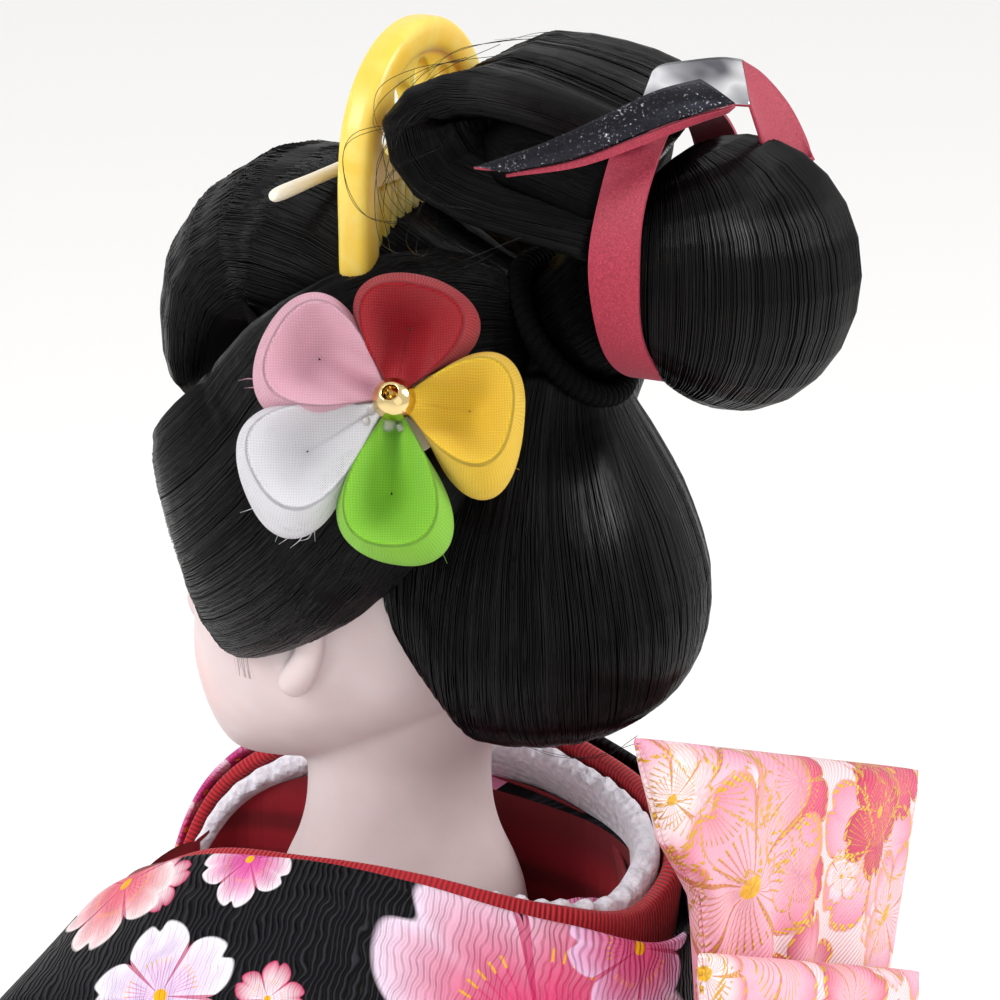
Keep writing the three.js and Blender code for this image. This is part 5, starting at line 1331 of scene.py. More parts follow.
# Printed silk crepe: cherry blossoms over black. One group draws a blossom's outline, veins and stamens
def blossomGroup():
    tree = bpy.data.node_groups.new("printed_blossom", "ShaderNodeTree")
    for name, kind, value in (("Vector", "Vector", None), ("Radius", "Float", 8.0), ("Turn", "Float", 0.0),
                              ("Heart", "Color", (1, 1, 1, 1)), ("Rim", "Color", (1, 0.3, 0.5, 1))):
        socket = tree.interface.new_socket(name, in_out="INPUT", socket_type="NodeSocket" + kind)
        if value is not None:
            socket.default_value = value
    tree.interface.new_socket("Mask", in_out="OUTPUT", socket_type="NodeSocketFloat")
    tree.interface.new_socket("Color", in_out="OUTPUT", socket_type="NodeSocketColor")
    tree.interface.new_socket("Gold", in_out="OUTPUT", socket_type="NodeSocketFloat")
    given = addNode(tree, "NodeGroupInput").outputs

    calc, over = partial(maths, tree), partial(laidOver, tree)
    axes = addNode(tree, "ShaderNodeSeparateXYZ", {0: given["Vector"]})
    reach = calc("DIVIDE", vectors(tree, "LENGTH", given["Vector"]).outputs["Value"], given["Radius"])
    turn = calc("ADD", calc("ARCTAN2", axes.outputs[1], axes.outputs[0]), given["Turn"])
    lobe_ = calc("ABSOLUTE", calc("COSINE", calc("MULTIPLY", turn, 2.5)))
    notch = calc("MULTIPLY", calc("POWER", lobe_, 60.0), -0.13)
    edge = calc("ADD", calc("MULTIPLY_ADD", calc("POWER", lobe_, 0.5), 0.42, 0.6), notch)
    share = calc("DIVIDE", reach, edge)
    mask = addNode(
        tree, "ShaderNodeMapRange", {"Value": share, "From Min": 1.02, "From Max": 0.98}, clamp=True,
    ).outputs[0]
    colour = over(given["Heart"], calc("MULTIPLY", calc("POWER", share, 2.4), 0.95), given["Rim"])
    vein = calc("MULTIPLY", calc("LESS_THAN", lobe_, 0.13), calc("GREATER_THAN", reach, 0.1))
    colour = over(colour, calc("MULTIPLY", vein, 0.75), "#c2185b")
    fine = calc("POWER", calc("ABSOLUTE", calc("SINE", calc("MULTIPLY", turn, 22.5))), 18.0)
    rays = calc(
        "MULTIPLY", fine, calc(
            "MULTIPLY", calc("LESS_THAN", reach, 0.46), calc("GREATER_THAN", lobe_, 0.45),
        ),
    )
    colour = over(colour, calc("MULTIPLY", rays, 0.7), "#d6336c")
    dots = calc("MULTIPLY", fine, calc("LESS_THAN", calc("ABSOLUTE", calc("SUBTRACT", reach, 0.47)), 0.035))
    colour = over(colour, calc("MULTIPLY", dots, calc("GREATER_THAN", lobe_, 0.45)), "#f2b51d")
    colour = over(colour, calc("LESS_THAN", reach, 0.09), "#f2b51d")
    rimLine = calc("LESS_THAN", calc("ABSOLUTE", calc("SUBTRACT", share, 0.97)), 0.05)
    beads = calc(
        "GREATER_THAN", calc(
            "SINE", calc("MULTIPLY", calc("ADD", turn, share), calc("MULTIPLY", given["Radius"], 5.0)),
        ), -0.35,
    )
    gold = calc(
        "MAXIMUM", calc("MULTIPLY", calc("MAXIMUM", rimLine, vein), beads),
        calc("MAXIMUM", dots, calc("MULTIPLY", rays, 0.6)),
    )
    addNode(tree, "NodeGroupOutput", {0: mask, 1: colour, 2: gold})
    return tree


blossomTree = blossomGroup()


def blossomsOn(tree, below, vector, radius, turn, heart, rim, allow=1.0):
    heart, rim = (linear(c) if isinstance(c, str) else c for c in (heart, rim))
    shape = addNode(tree, "ShaderNodeGroup", node_tree=blossomTree)
    for name, value in (
        ("Vector", vector), ("Radius", radius), ("Turn", turn), ("Heart", heart), ("Rim", rim),
    ):
        if isinstance(value, bpy.types.NodeSocket):
            tree.links.new(value, shape.inputs[name])
        else:
            shape.inputs[name].default_value = value
    seen = maths(tree, "MULTIPLY", shape.outputs[0], allow)
    gold = maths(tree, "MULTIPLY", seen, shape.outputs[2])
    return laidOver(tree, below, seen, shape.outputs[1]), gold


# Blossoms strewn over a flat UV in mm, one to a cell, each with its own turn and size
def strewn(tree, below, uv, cell, size, heart, rim, share):
    cells = addNode(
        tree, "ShaderNodeTexVoronoi", {"Vector": uv, "Scale": 1 / cell, "Randomness": 0.75},
        voronoi_dimensions="2D",
    )
    offset = vectors(tree, "SUBTRACT", uv, cells.outputs["Position"])
    lot = addNode(tree, "ShaderNodeSeparateColor", {0: cells.outputs["Color"]})
    radius = addNode(
        tree, "ShaderNodeMapRange", {"Value": lot.outputs[0], "To Min": size * 0.62, "To Max": size},
    )
    turn = maths(tree, "MULTIPLY", lot.outputs[1], 6.28)
    allow = maths(tree, "LESS_THAN", lot.outputs[2], share)
    return blossomsOn(tree, below, offset.outputs[0], radius.outputs[0], turn, heart, rim, allow)


# Crepe's ripples run down the cloth about 0.7 mm apart and catch the light as short grey crests
def crepeRipples(tree, shader, uv, across, pitch=0.7):
    wave = waves(tree, uv, pitch, across, 10.0, 1.0, 0.75)
    bumped(tree, shader, wave, 0.25, 0.9)
    return wave


# One blossom at a chosen place on a surface, flat across its normal. Places are in mm from the neck's middle.
def setDown(tree, below, inMm, place, normal, radius, turn, heart, rim):
    offset = vectors(tree, "SUBTRACT", inMm, tuple(place + Vector((0, 0, neckZ)))).outputs[0]
    across = normal.cross(Vector((0, 0, 1))).normalized()
    up = across.cross(normal)
    flat = [
        vectors(tree, "DOT_PRODUCT", offset, tuple(axis)).outputs["Value"]
        for axis in (across, up, normal)
    ]
    vector = addNode(tree, "ShaderNodeCombineXYZ", {0: flat[0], 1: flat[1]}).outputs[0]
    away = maths(tree, "ABSOLUTE", flat[2])
    allow = maths(tree, "LESS_THAN", away, radius * 1.3)
    return blossomsOn(tree, below, vector, radius, turn, heart, rim, allow)


# the ground is the crepe's own black; the crest colour is a painted highlight on the ripples
kimono = {"ground": "#050406", "painted_crest_highlight": "#26252b", "decals": [
    # pixel of the photograph, radius in mm, turn, heart and rim colours
    ((250, 859), 5.2, 0.55, "#e05aa8", "#fdf8fb"), ((126, 884), 8.6, 1.1, "#e8707f", "#fbf1f2"),
    ((160, 996), 8.0, 0.2, "#e6cdf0", "#fbf7fd"), ((540, 1045), 18.0, 0.35, "#d23c6c", "#f1dff2"),
    ((640, 948), 7.6, 0.9, "#dd5a8c", "#e9c6ea"), ((686, 868), 3.0, 0.4, "#f7c64b", "#f09a35"),
    ((238, 760), 3.2, 0.3, "#c9338a", "#f6cfe6"), ((206, 792), 4.2, 0.8, "#d8489b", "#fbe6f2"),
    ((186, 830), 4.0, 1.2, "#e0609f", "#fdf2f6"),
]}


def printedCrepe(name, across="X", decals=()):
    finish, tree, shader = newFinish(name, Roughness=0.42, Specular_IOR_Level=0.09)
    uv = uvPlace(tree)
    ripple = crepeRipples(tree, shader, uv, across)
    # the ripples' crests are painted grey over the black ground, a painted highlight where they catch the
    # light
    colour = ramp(tree, ripple, [(0.6, kimono["ground"]), (0.98, kimono["painted_crest_highlight"])]).outputs[0]
    spot = objectPlace(tree)
    inMm = vectors(tree, "SCALE", spot, Scale=1 / mm).outputs[0]
    scattered = (
        (46, 17, "#fbf2f6", "#e36aa2", 0.62), (33, 10.5, "#f8eef8", "#b99be0", 0.5),
        (24, 6.2, "#fff3d6", "#f0a13a", 0.4),
        (19, 4.6, "#fdeaf0", "#c2185b", 0.5),
    )
    for cell, size, heart, rim, share in scattered:
        colour, _ = strewn(tree, colour, uv, cell, size, heart, rim, share)
    for decal in decals:
        colour, _ = setDown(tree, colour, inMm, *decal)
    feed(shader, "Base Color", colour)
    return finish


# Plain silk, its fine ribs across the band about 0.45 mm apart
def ribbedSilk(name, dark, light, pitch=0.45, depth=0.12):
    finish, tree, shader = newFinish(name, Roughness=0.6, Sheen_Weight=0.1, Specular_IOR_Level=0.35)
    uv = uvPlace(tree)
    wave = waves(tree, uv, pitch, "X", 0.6, 2.0, 1.4)
    feed(shader, "Base Color", ramp(tree, wave, [(0.1, dark), (0.8, light)]))
    bumped(tree, shader, wave, depth, 0.8)
    return finish


# Collars: four bands on one route, the line where the white and the red collar meet
collarRoute = [
    ((-9.5, -32.9, -50.5), (0.93, 0.02, -0.3)), ((1, -34.8, -36), (0.86, -0.1, -0.5)),
    ((8.6, -31.6, -22), (0.8, -0.25, -0.55)),
    ((12.2, -24.4, -11), (0.76, -0.3, -0.6)), ((15, -12.6, -3.6), (0.74, -0.16, -0.66)),
    ((16.8, 0, -0.6), (0.72, 0, -0.7)),
    ((16.4, 12, -0.2), (0.6, 0.12, -0.8)), ((12.6, 22.4, -2), (0.32, 0.1, -0.95)),
    ((5, 27.4, -4), (0.08, -0.12, -0.99)),
    ((-3, 27.6, -1.6), (-0.1, -0.16, -0.98)), ((-11, 19.4, 1.4), (-0.35, 0.1, -0.93)),
    ((-14.6, 8, 3), (-0.6, 0.06, -0.8)),
    ((-15.8, -4, 2.4), (-0.72, 0, -0.7)), ((-15, -17, -1.4), (-0.74, -0.2, -0.64)),
    ((-12, -27, -8.4), (-0.78, -0.3, -0.55)),
    ((-6.4, -30.4, -19), (-0.84, -0.2, -0.5)), ((1.4, -29.6, -34), (-0.9, -0.05, -0.42)),
    ((9.5, -28.4, -50), (-0.94, 0, -0.33)),
]
collarLayers = {
    "under_collar": {
        "from": -3.7, "to": -3.0, "top": 4.0, "width": 8.2, "cut": 0.0115, "slot": "deep_red_silk",
    },
    "white_collar": {
        "from": -2.9, "to": -0.1, "top": -0.3, "width": 8.6, "cut": 0.013, "slot": "white_crepe",
        "scallop": 0.26,
    },
    "red_collar": {"from": 0.1, "to": 2.3, "top": -0.2, "width": 10.7, "cut": 0.016, "slot": "red_silk"},
    "kimono_collar": {
        "from": 2.7, "to": 4.2, "top": 0, "width": 16.5, "cut": 0.026, "slot": "printed_crepe",
    },
}
kimonoDrop = [0, 0.3, 0.9, 1.8, 1.7, 1.2, 1.4, 1.2, 1.2, 1.4, 1.2, 1, 0.4, 0, 0, 0, 0, 0]
underDrop = [0, 0, 0, 0, 0, 0, 0, 0, 0, 0, 0, 0.6, 1.6, 2.8, 3.6, 3.6, 2, 0]
whiteDrop = [-2.6, -2.6, -2.4, -1.6, -0.6, 0, 0, 0, 0, 0, 0, 0, 0, -0.6, -1.6, -2.4, -2.6, -2.6]
kimonoStand = [0, 0, 0, 0, 0, 0.2, 1.0, 2.4, 2.8, 1.6, 0.4, 0, 0, 0, 0, 0, 0, 0]
flatShare = [0.42, 0.42, 0.5, 0.75, 1, 1, 1, 1, 1, 1, 1, 1, 1, 1, 0.75, 0.5, 0.42, 0.42]


def collarFrame(ts):
    path = [at for at, _ in collarRoute]
    centre, along = alongCurve(path, ts), tangents(path, ts)
    hang = alongList([h for _, h in collarRoute], ts)
    hang = unit(hang - along * np.sum(hang * along, axis=1, keepdims=True))
    return centre, hang, np.cross(hang, along)


def collarRings(layer, drop, stand, rows=320, columns=56):
    ts = np.linspace(0, 1, rows)
    centre, hang, out = collarFrame(ts)
    share = alongList(flatShare, ts)[:, None]
    angle = turns(columns)
    c, s = roundPower(np.cos(angle), 2 / 5), roundPower(np.sin(angle), 2 / 3.4)
    length = np.concatenate([[0], np.cumsum(np.linalg.norm(np.diff(centre, axis=0), axis=1))])[:, None]
    atTop = np.clip(-c, 0, 1) ** 6
    ripple = layer.get("scallop", 0) * (
        np.sin(2 * np.pi * length / 2.6 + 1.2 * np.sin(length / 5)) + 0.5 * np.sin(length * 1.7)
    )
    low = (alongList(drop, ts) + layer["top"])[:, None]
    a = low + layer["width"] / 2 * (1 + c) - ripple * atTop
    middle, half = (layer["from"] + layer["to"]) / 2, (layer["to"] - layer["from"]) / 2
    soft = 0.18 * np.sin(length / 3.1 + 0.6 * c) * (1 if half > 0.5 else 0)
    b = middle * share + s * half * np.maximum(share, 0.6) + soft * share + 0.3 * ripple * atTop
    b = b + alongList(stand, ts)[:, None]
    return centre[:, None] + hang[:, None] * a[..., None] + out[:, None] * b[..., None]


def whiteCrepe():
    finish, tree, shader = newFinish(
        "white_pebbled_crepe", Roughness=0.75, Sheen_Weight=0.2, Subsurface_Weight=0.1,
        Subsurface_Scale=0.0006,
    )
    spot = objectPlace(tree)
    grain = noise(tree, spot, 1500.0, 3.0)
    pebble = addNode(tree, "ShaderNodeTexVoronoi", {"Vector": spot, "Scale": 1100.0})
    mixed = maths(tree, "ADD", grain, pebble.outputs["Distance"])
    feed(shader, "Base Color", ramp(tree, grain, [(0.3, "#d5d0dc"), (0.7, "#eeebf2")]))
    bumped(tree, shader, mixed, 0.25)
    return finish


deepRed = ribbedSilk("deep_red_plain_silk", "#6d0714", "#8f1020", pitch=0.3, depth=0.04)
redSilk = ribbedSilk("red_ribbed_silk", "#8f0b18", "#d01a2a", pitch=0.52, depth=0.22)
plainCrepe = printedCrepe("printed_kimono_crepe")
layerFinish = {
    "under_collar": deepRed, "white_collar": whiteCrepe(), "red_collar": redSilk,
    "kimono_collar": plainCrepe,
}
layerShape = {
    "under_collar": (underDrop, [0, 0]), "white_collar": (whiteDrop, [0, 0]),
    "red_collar": ([d / 2 for d in whiteDrop], [0, 0]), "kimono_collar": (kimonoDrop, kimonoStand),
}
collars = {}
for name, layer in collarLayers.items():
    made = loft(name + "_cloth", collarRings(layer, *layerShape[name]), layerFinish[name], inMm=True)
    collars[name] = dressed(made, "figure", layer["slot"], name)


# Kimono bodice over its padding, hollow inside the collars down to the neck's foot
shoulder, waistHalf, waistFront, waistBack = 44, 36, 34, 29
obiTop, obiBottom, waistSeam, hipZ, ground = -52, -97, -75, -122, -278
bodiceSections = [
    (-3, 18, 20, 22, 3, 2.2), (-8, 27, 26, 26.4, 0, 2.2), (-14, shoulder - 8, 29, 26.6, 0, 2.2),
    (-22, shoulder, 31.6, 26.4, 0, 2.2),
    (-36, shoulder - 2, 33, 27, 0, 2.2), (obiTop, waistHalf, waistFront, waistBack, 0, 2.2),
    (waistSeam + 0.15, waistHalf, waistFront, waistBack, 0, 2.2),
]
bodice = loft("kimono_bodice_cloth", levelRings(bodiceSections, 90, 180), plainCrepe, inMm=True)
# the hollow follows a part of the collars' route, just outside the under collar's face
hollow = {"from": 0.13, "over": 0.755, "inset": 1.2, "levels": (-15.3, -8, 12), "points": 60}
wellCentre, _, wellOut = collarFrame(hollow["from"] + hollow["over"] * np.linspace(0, 1, hollow["points"]))
outline = wellCentre + wellOut * (collarLayers["under_collar"]["from"] + hollow["inset"])
wellRings = [np.column_stack([outline[:, :2], np.full(hollow["points"], z)]) for z in hollow["levels"]]
well = loft("neck_well", np.stack(wellRings), deepRed, smooth=False)
modified(bodice, "BOOLEAN", object=well, operation="DIFFERENCE", solver="EXACT", material_mode="TRANSFER")
applied(bodice)
redSlot = [m.name for m in bodice.data.materials].index(deepRed.name)
for face in bodice.data.polygons:
    x, y, z = (Vector(face.center) - Vector((0, 0, neckZ * mm))) / mm
    rightEdge, leftEdge = -0.6 - 0.52 * (z + 34), 3 + 0.55 * (z + 36)
    if y < -14 and z > -38 and rightEdge < x < leftEdge:
        face.material_index = redSlot  # the front of the under-kimono, seen between the collars
bpy.data.objects.remove(well)
dressed(bodice, "figure", "printed_crepe", "kimono_bodice")


def firstUnder(pixel, surfaces):
    found = [hit for hit in (underPixel(pixel, surface) for surface in surfaces) if hit]
    toCamera = camera.location / mm - Vector((0, 0, neckZ))
    return min(found, key=lambda hit: (hit[0] - toCamera).length) if found else None


# Decals as setDown takes them, from the photograph's pixels
def spotted(decals, surfaces):
    spots = []
    for pixel, *rest in decals:
        hit = firstUnder(pixel, surfaces)
        if hit:
            spots.append((*hit, *rest))
    return spots


spots = spotted(kimono["decals"], [collars["kimono_collar"], bodice])
print("blossoms placed on the near shoulder:", len(spots))
collars["kimono_collar"].data.materials[0] = printedCrepe("printed_crepe_of_the_collar", "X", spots)
bodice.data.materials[0] = printedCrepe("printed_crepe_of_the_bodice", "Y", spots)
print("collars and bodice made")

# Brocade: white satin ground woven with pink and crimson blossoms, their outlines and veins in gold thread
def brocade(name, decals=()):
    finish, tree, shader = newFinish(name, Roughness=0.5, Specular_IOR_Level=0.4, Sheen_Weight=0.1)
    uv = uvPlace(tree)
    spot = objectPlace(tree)
    inMm = vectors(tree, "SCALE", spot, Scale=1 / mm).outputs[0]
    weave = waves(tree, uv, 0.32, "DIAGONAL", 0.8, 2.0, 1.0)
    colour = ramp(tree, weave, [(0.1, "#e0b6c0"), (0.7, "#f0d8d8")]).outputs[0]
    gold = None
    layers = [
        (30, 13, "#f0b9c8", "#dd6f92", 0.9), (21, 7.5, "#dc4a74", "#b8123f", 0.7),
        (14, 4.2, "#f6dfe4", "#e69fb4", 0.6),
    ]
    for cell, size, heart, rim, share in layers:
        colour, more = strewn(tree, colour, uv, cell, size, heart, rim, share)
        gold = more if gold is None else maths(tree, "MAXIMUM", gold, more)
    for decal in decals:
        colour, more = setDown(tree, colour, inMm, *decal)
        gold = maths(tree, "MAXIMUM", gold, more)
    feed(shader, "Base Color", laidOver(tree, colour, gold, "#d9a63c"))
    feed(shader, "Metallic", maths(tree, "MULTIPLY", gold, 0.85))
    raised = maths(tree, "MULTIPLY_ADD", gold, 0.7, weave)
    bumped(tree, shader, raised, 0.16, 0.8)
    return finish


plainBrocade = brocade("gold_thread_brocade")
waistPower = 2.2


def waistRings(z, outs, rows, power=waistPower):
    # Rows go round the waist, each a section of the band
    angle = np.linspace(0, 2 * np.pi, rows)
    c, s = oval(angle, power)
    reach = np.where(s > 0, waistBack, waistFront)
    rings = [
        np.stack([c * (waistHalf + out), s * (reach + out), level + 0 * angle], axis=1) for out,
        level in zip(outs, z)
    ]
    return np.stack(rings, axis=1)


def bandSection(low, high, inside, outside, columns=40, power=5):
    c, s = oval(turns(columns), power)
    return (low + high) / 2 + c * (high - low) / 2, (inside + outside) / 2 + s * (outside - inside) / 2


bandZ, bandOut = bandSection(obiBottom, obiTop, 0.3, 3.5)
obiBand = dressed(
    loft("obi_band_brocade", waistRings(bandZ, bandOut, 240), plainBrocade, inMm=True), "figure",
    "brocade", "obi_band",
)


# Roll or cord round the waist, both ends under the knot
def waistRoll(name, z, out, halfOut, halfHigh, finish, wave, rows=360, columns=24):
    angle = np.radians(np.linspace(118, 422, rows))
    c, s = oval(angle, waistPower)
    reach = np.where(s > 0, waistBack, waistFront)
    turn = turns(columns)
    coarse = wave * np.sin(9 * angle + 0.7)[:, None] * np.sin(2 * turn)[None]
    swell = 1 + coarse + 0.6 * wave * np.sin(23 * angle)[:, None]
    o = out + halfOut * np.cos(turn)[None] * swell
    zz = z + halfHigh * np.sin(turn)[None] * swell
    rings = np.stack([c[:, None] * (waistHalf + o), s[:, None] * (reach[:, None] + o), zz], axis=2)
    return loft(name, rings, finish, inMm=True)


gathered = ribbedSilk("red_gathered_silk", "#a00d1b", "#d32333", pitch=1.6, depth=0.3)
scarf = dressed(
    waistRoll("obi_scarf_silk", obiTop + 2.8, 2.5, 2.2, 2.5, gathered, 0.12), "figure", "red_silk",
    "obi_scarf",
)


def braidedCord():
    finish, tree, shader = newFinish("braided_silk_cord", Roughness=0.5, Sheen_Weight=0.15)
    uv = uvPlace(tree)
    turned = [
        addNode(
            tree, "ShaderNodeVectorRotate", {"Vector": uv, "Angle": math.radians(side * 40)},
            rotation_type="Z_AXIS",
        )
        for side in (1, -1)
    ]
    both = maths(tree, "MAXIMUM", *(waves(tree, vector, 1.1, "X", 0.0, 2.0, 1.0) for vector in turned))
    feed(shader, "Base Color", ramp(tree, both, [(0.4, "#b7995a"), (0.9, "#f0e3b8")]))
    bumped(tree, shader, both, 0.3)
    return finish


braid = braidedCord()
cordZ, cordOut = (obiTop + obiBottom) / 2, 5.3
cordParts = [waistRoll("obi_cord_braid", cordZ, cordOut, 1.5, 1.5, braid, 0)]
knotY = -waistFront - cordOut - 0.6
cordKnot = {
    "path": [(-4.2, knotY, cordZ), (0, knotY - 1, cordZ), (4.2, knotY, cordZ)], "side": [(0, 0, 1)] * 3,
    "width": [1.8, 3, 1.8],
    "outer": [1.6, 2.2, 1.6], "inner": [1.6, 2.2, 1.6], "startRound": 0.3, "endRound": 0.3,
}
cordParts.append(loft("obi_cord_knot", lockRings(cordKnot, 30, 24), braid, inMm=True))
dressed(joined(*cordParts), "figure", "braided_cord", "obi_cord")

# Bow of the obi: standing loops of stiff brocade, pleated where the knot holds them
knotAt = np.array((0, 45, -64.0))
wingLayers = [
    {"edge": (-3, 40.2, 10.8), "half": (31.4, -1.2, 12.4), "root": 11, "thick": 5.4},
    {"edge": (1, 45.4, -8.2), "half": (27, 0, 11.8), "root": 12, "thick": 4.6},
]


def wingRings(layer, sign, drop, rows=90, columns=90):
    edge, half = np.array(layer["edge"], float), np.array(layer["half"], float)
    root = np.array((knotAt[0], edge[1] - 1, knotAt[2]))
    end = edge if sign > 0 else np.array((-edge[0], edge[1] + drop, 2 * knotAt[2] - edge[2] + 2))
    u = np.linspace(-1, 1, rows)[:, None, None]
    lengthAll = np.linalg.norm(end - root)
    fold = layer["thick"] / 2 / lengthAll
    s = np.linspace(0, 1, columns)
    # up the outer face, over the fold and down the inner one
    t = np.where(s < 0.44, s / 0.44 * (1 - fold), np.where(s > 0.56, (1 - s) / 0.44 * (1 - fold), 0))
    bend = np.clip((s - 0.44) / 0.12, 0, 1) * np.pi
    t = np.where((s >= 0.44) & (s <= 0.56), 1 - fold + fold * np.sin(bend), t)
    side = np.where(s < 0.44, 1, np.where(s > 0.56, -1, np.cos(bend)))
    t, side = t[None, :, None], side[None, :, None]
    centre = root + (end - root) * t
    ease = t**0.7
    wide = np.array((layer["root"], 0, 0)) * (1 - ease) + half * ease
    if sign > 0 and layer is wingLayers[0]:
        # the loop is drawn in behind the collar's back
        drawn = np.interp(t[0, :, 0], [0, 0.62, 0.76, 0.86, 1], [0.95, 0.55, 0.6, 0.86, 1])[None, :, None]
        wide = wide * np.where(u > 0, np.concatenate([drawn, 0 * drawn + 1, 0 * drawn + 1], axis=2), 1)
    pleat = 1.3 * (1 - 0.75 * t) * np.cos(4 * np.pi * u)
    thick = layer["thick"] / 2 * (1 - 0.99 * u**8) * (0.55 + 0.45 * t) + 0.8 * t * (1 - t) * np.sin(3 * u + 1)
    y = side * thick + np.where(side > 0, pleat, 0.5 * pleat)
    return centre + wide * u + np.concatenate([0 * y, y, 0 * y], axis=2)


def wing(name, sign, drop):
    parts = []
    for layer in wingLayers:
        cloth = loft(name, wingRings(layer, sign, drop), plainBrocade, closed=False, inMm=True)
        modified(cloth, "SOLIDIFY", thickness=0.5 * mm, offset=0)
        parts.append(applied(cloth))
    return joined(*parts)


upperWing, lowerWing = wing("obi_wing_upper_brocade", 1, 0), wing("obi_wing_lower_brocade", -1, 5)
wingDecals = [
    ((800, 782), 8.6, 1.0, "#dd4a73", "#bd1742"), ((880, 812), 7.0, 0.2, "#d83a66", "#b3123c"),
    ((885, 915), 8.0, 0.1, "#f3c3d0", "#dd6e8f"),
    ((672, 800), 6.5, 0.5, "#f8e4e6", "#eaa0b2"), ((752, 888), 14.5, 0.3, "#efb3c3", "#e37896"),
    ((850, 1010), 9.0, 0.7, "#eeb0c1", "#c93058"),
    ((705, 975), 8.5, 0.9, "#f6dfe2", "#d84770"),
]
goldSpots = spotted(wingDecals, [upperWing])
upperWing.data.materials[0] = brocade("gold_thread_brocade_of_the_wing", goldSpots)
for made, node in ((upperWing, "obi_wing_upper"), (lowerWing, "obi_wing_lower")):
    dressed(made, "figure", "brocade", node)
knotForm = {
    "path": [(-15, 40.5, -66.5), (-11, 45.4, -65.6), (0, 47.6, -64), (11, 45.4, -62.4), (15, 40.5, -61.5)],
    "side": [(0.1, 0, 1)] * 5, "width": [7, 8.6, 9.4, 8.6, 7], "outer": [4, 4.6, 5, 4.6, 4],
    "inner": [4, 8, 18, 8, 4],
    "power": 2.6, "startRound": 0.12, "endRound": 0.12,
}
knot = dressed(
    loft("obi_knot_brocade", lockRings(knotForm, 70, 90), plainBrocade, inMm=True), "figure", "brocade",
    "obi_knot",
)
print("obi tied")

# Skirt over its padding, in soft upright folds, and the red padded roll under its edge
hem = {"half": 60, "front": 46, "back": 70, "pad": 5.4, "folds": 12, "depth": 2.6}


def folded(rings):
    angle = turns(rings.shape[1])
    start = obiBottom - 8
    deep = np.clip((start - rings[..., 2]) / (start - ground), 0, 1)
    front = 0.5 + 0.5 * np.sin(angle)
    wave = np.cos(hem["folds"] * angle) + 0.35 * np.sin(5 * angle + 1.3) + 0.12 * np.sin(31 * angle)
    reach = np.hypot(rings[..., 0], rings[..., 1])
    scale = 1 + hem["depth"] * deep * (0.35 + 0.65 * front) * wave / reach
    return rings * np.stack([scale, scale, np.ones_like(scale)], axis=2)


def belowHip(share):
    return hipZ + share * (ground - hipZ)


skirtSections = [
    (waistSeam - 0.15, waistHalf, waistFront, waistBack, 0, 2.2),
    (obiBottom, waistHalf, waistFront, waistBack, 0, 2.2),
    (hipZ, waistHalf + 2.6, waistFront + 3, waistBack + 5, 0, 2.2),
    (belowHip(0.22), waistHalf + 5, waistFront + 6, waistBack + 10, 0, 2.2),
    (belowHip(0.47), hem["half"] - 17, hem["front"] - 4.4, waistBack + 15, 0, 2.2),
    (belowHip(0.81), hem["half"] - 8, hem["front"] - 1.6, hem["back"] - 11, 0, 2.2),
    (belowHip(0.91), hem["half"] - 2.5, hem["front"] - 0.4, hem["back"] - 3, 0, 2.2),
    (ground + hem["pad"] + 0.6, hem["half"], hem["front"], hem["back"], 0, 2.2),
]


# The CAD's sections are joined by straight lines, so each level is read from them without overshoot.
def straightLevels(sections, rows, columns):
    zs = np.linspace(sections[0][0], sections[-1][0], rows)
    order = np.argsort([s[0] for s in sections])
    table = np.array(sections, float)[order]
    return levelForm(
        zs[:, None], *(np.interp(zs, table[:, 0], table[:, k])[:, None] for k in range(1, 6)), columns
    )


skirtCrepe = printedCrepe("printed_crepe_of_the_skirt", "Y")
skirt = loft("kimono_skirt_cloth", folded(straightLevels(skirtSections, 130, 300)), skirtCrepe, inMm=True)
dressed(skirt, "figure", "printed_crepe", "kimono_skirt")
hemTurn = np.linspace(0, np.pi, 16)
hemSections = [
    (
        ground + 0.3 + hem["pad"] * (0.5 + 0.5 * math.cos(a)),
        *(hem[k] - 0.8 + 2.4 * math.sin(a) ** 0.8 for k in ("half", "front", "back")), 0, 2.2
    )
    for a in hemTurn
]
hemRoll = loft("hem_padding_silk", folded(straightLevels(hemSections, 24, 360)), gathered, inMm=True)
dressed(hemRoll, "figure", "red_silk", "hem_padding")

# Long sleeves, each an upright pouch that follows the arm round the elbow
sleeveRoute = [(37, 3), (44.5, 2), (50, -2), (52.6, -9), (50.4, -20), (43.4, -31.5), (35.5, -40.5)]
sleeveTop = [-15.5, -18, -22.5, -56, -68, -73.5, -75]
sleeveBottom = [-45, -48, -150, -196, -203, -206, -204]
sleeveHalf = [8, 8.4, 8.4, 8.4, 8, 7.4, 7]
sleeveSlice = [
    (0, 1), (0.66, 0.98), (1, 0.93), (0.96, 0.8), (0.68, 0.5), (0.52, 0.24), (0.42, 0.04),
    (0, 0), (-0.42, 0.04), (-0.52, 0.24), (-0.68, 0.5), (-0.96, 0.8), (-1, 0.93), (-0.66, 0.98),
]


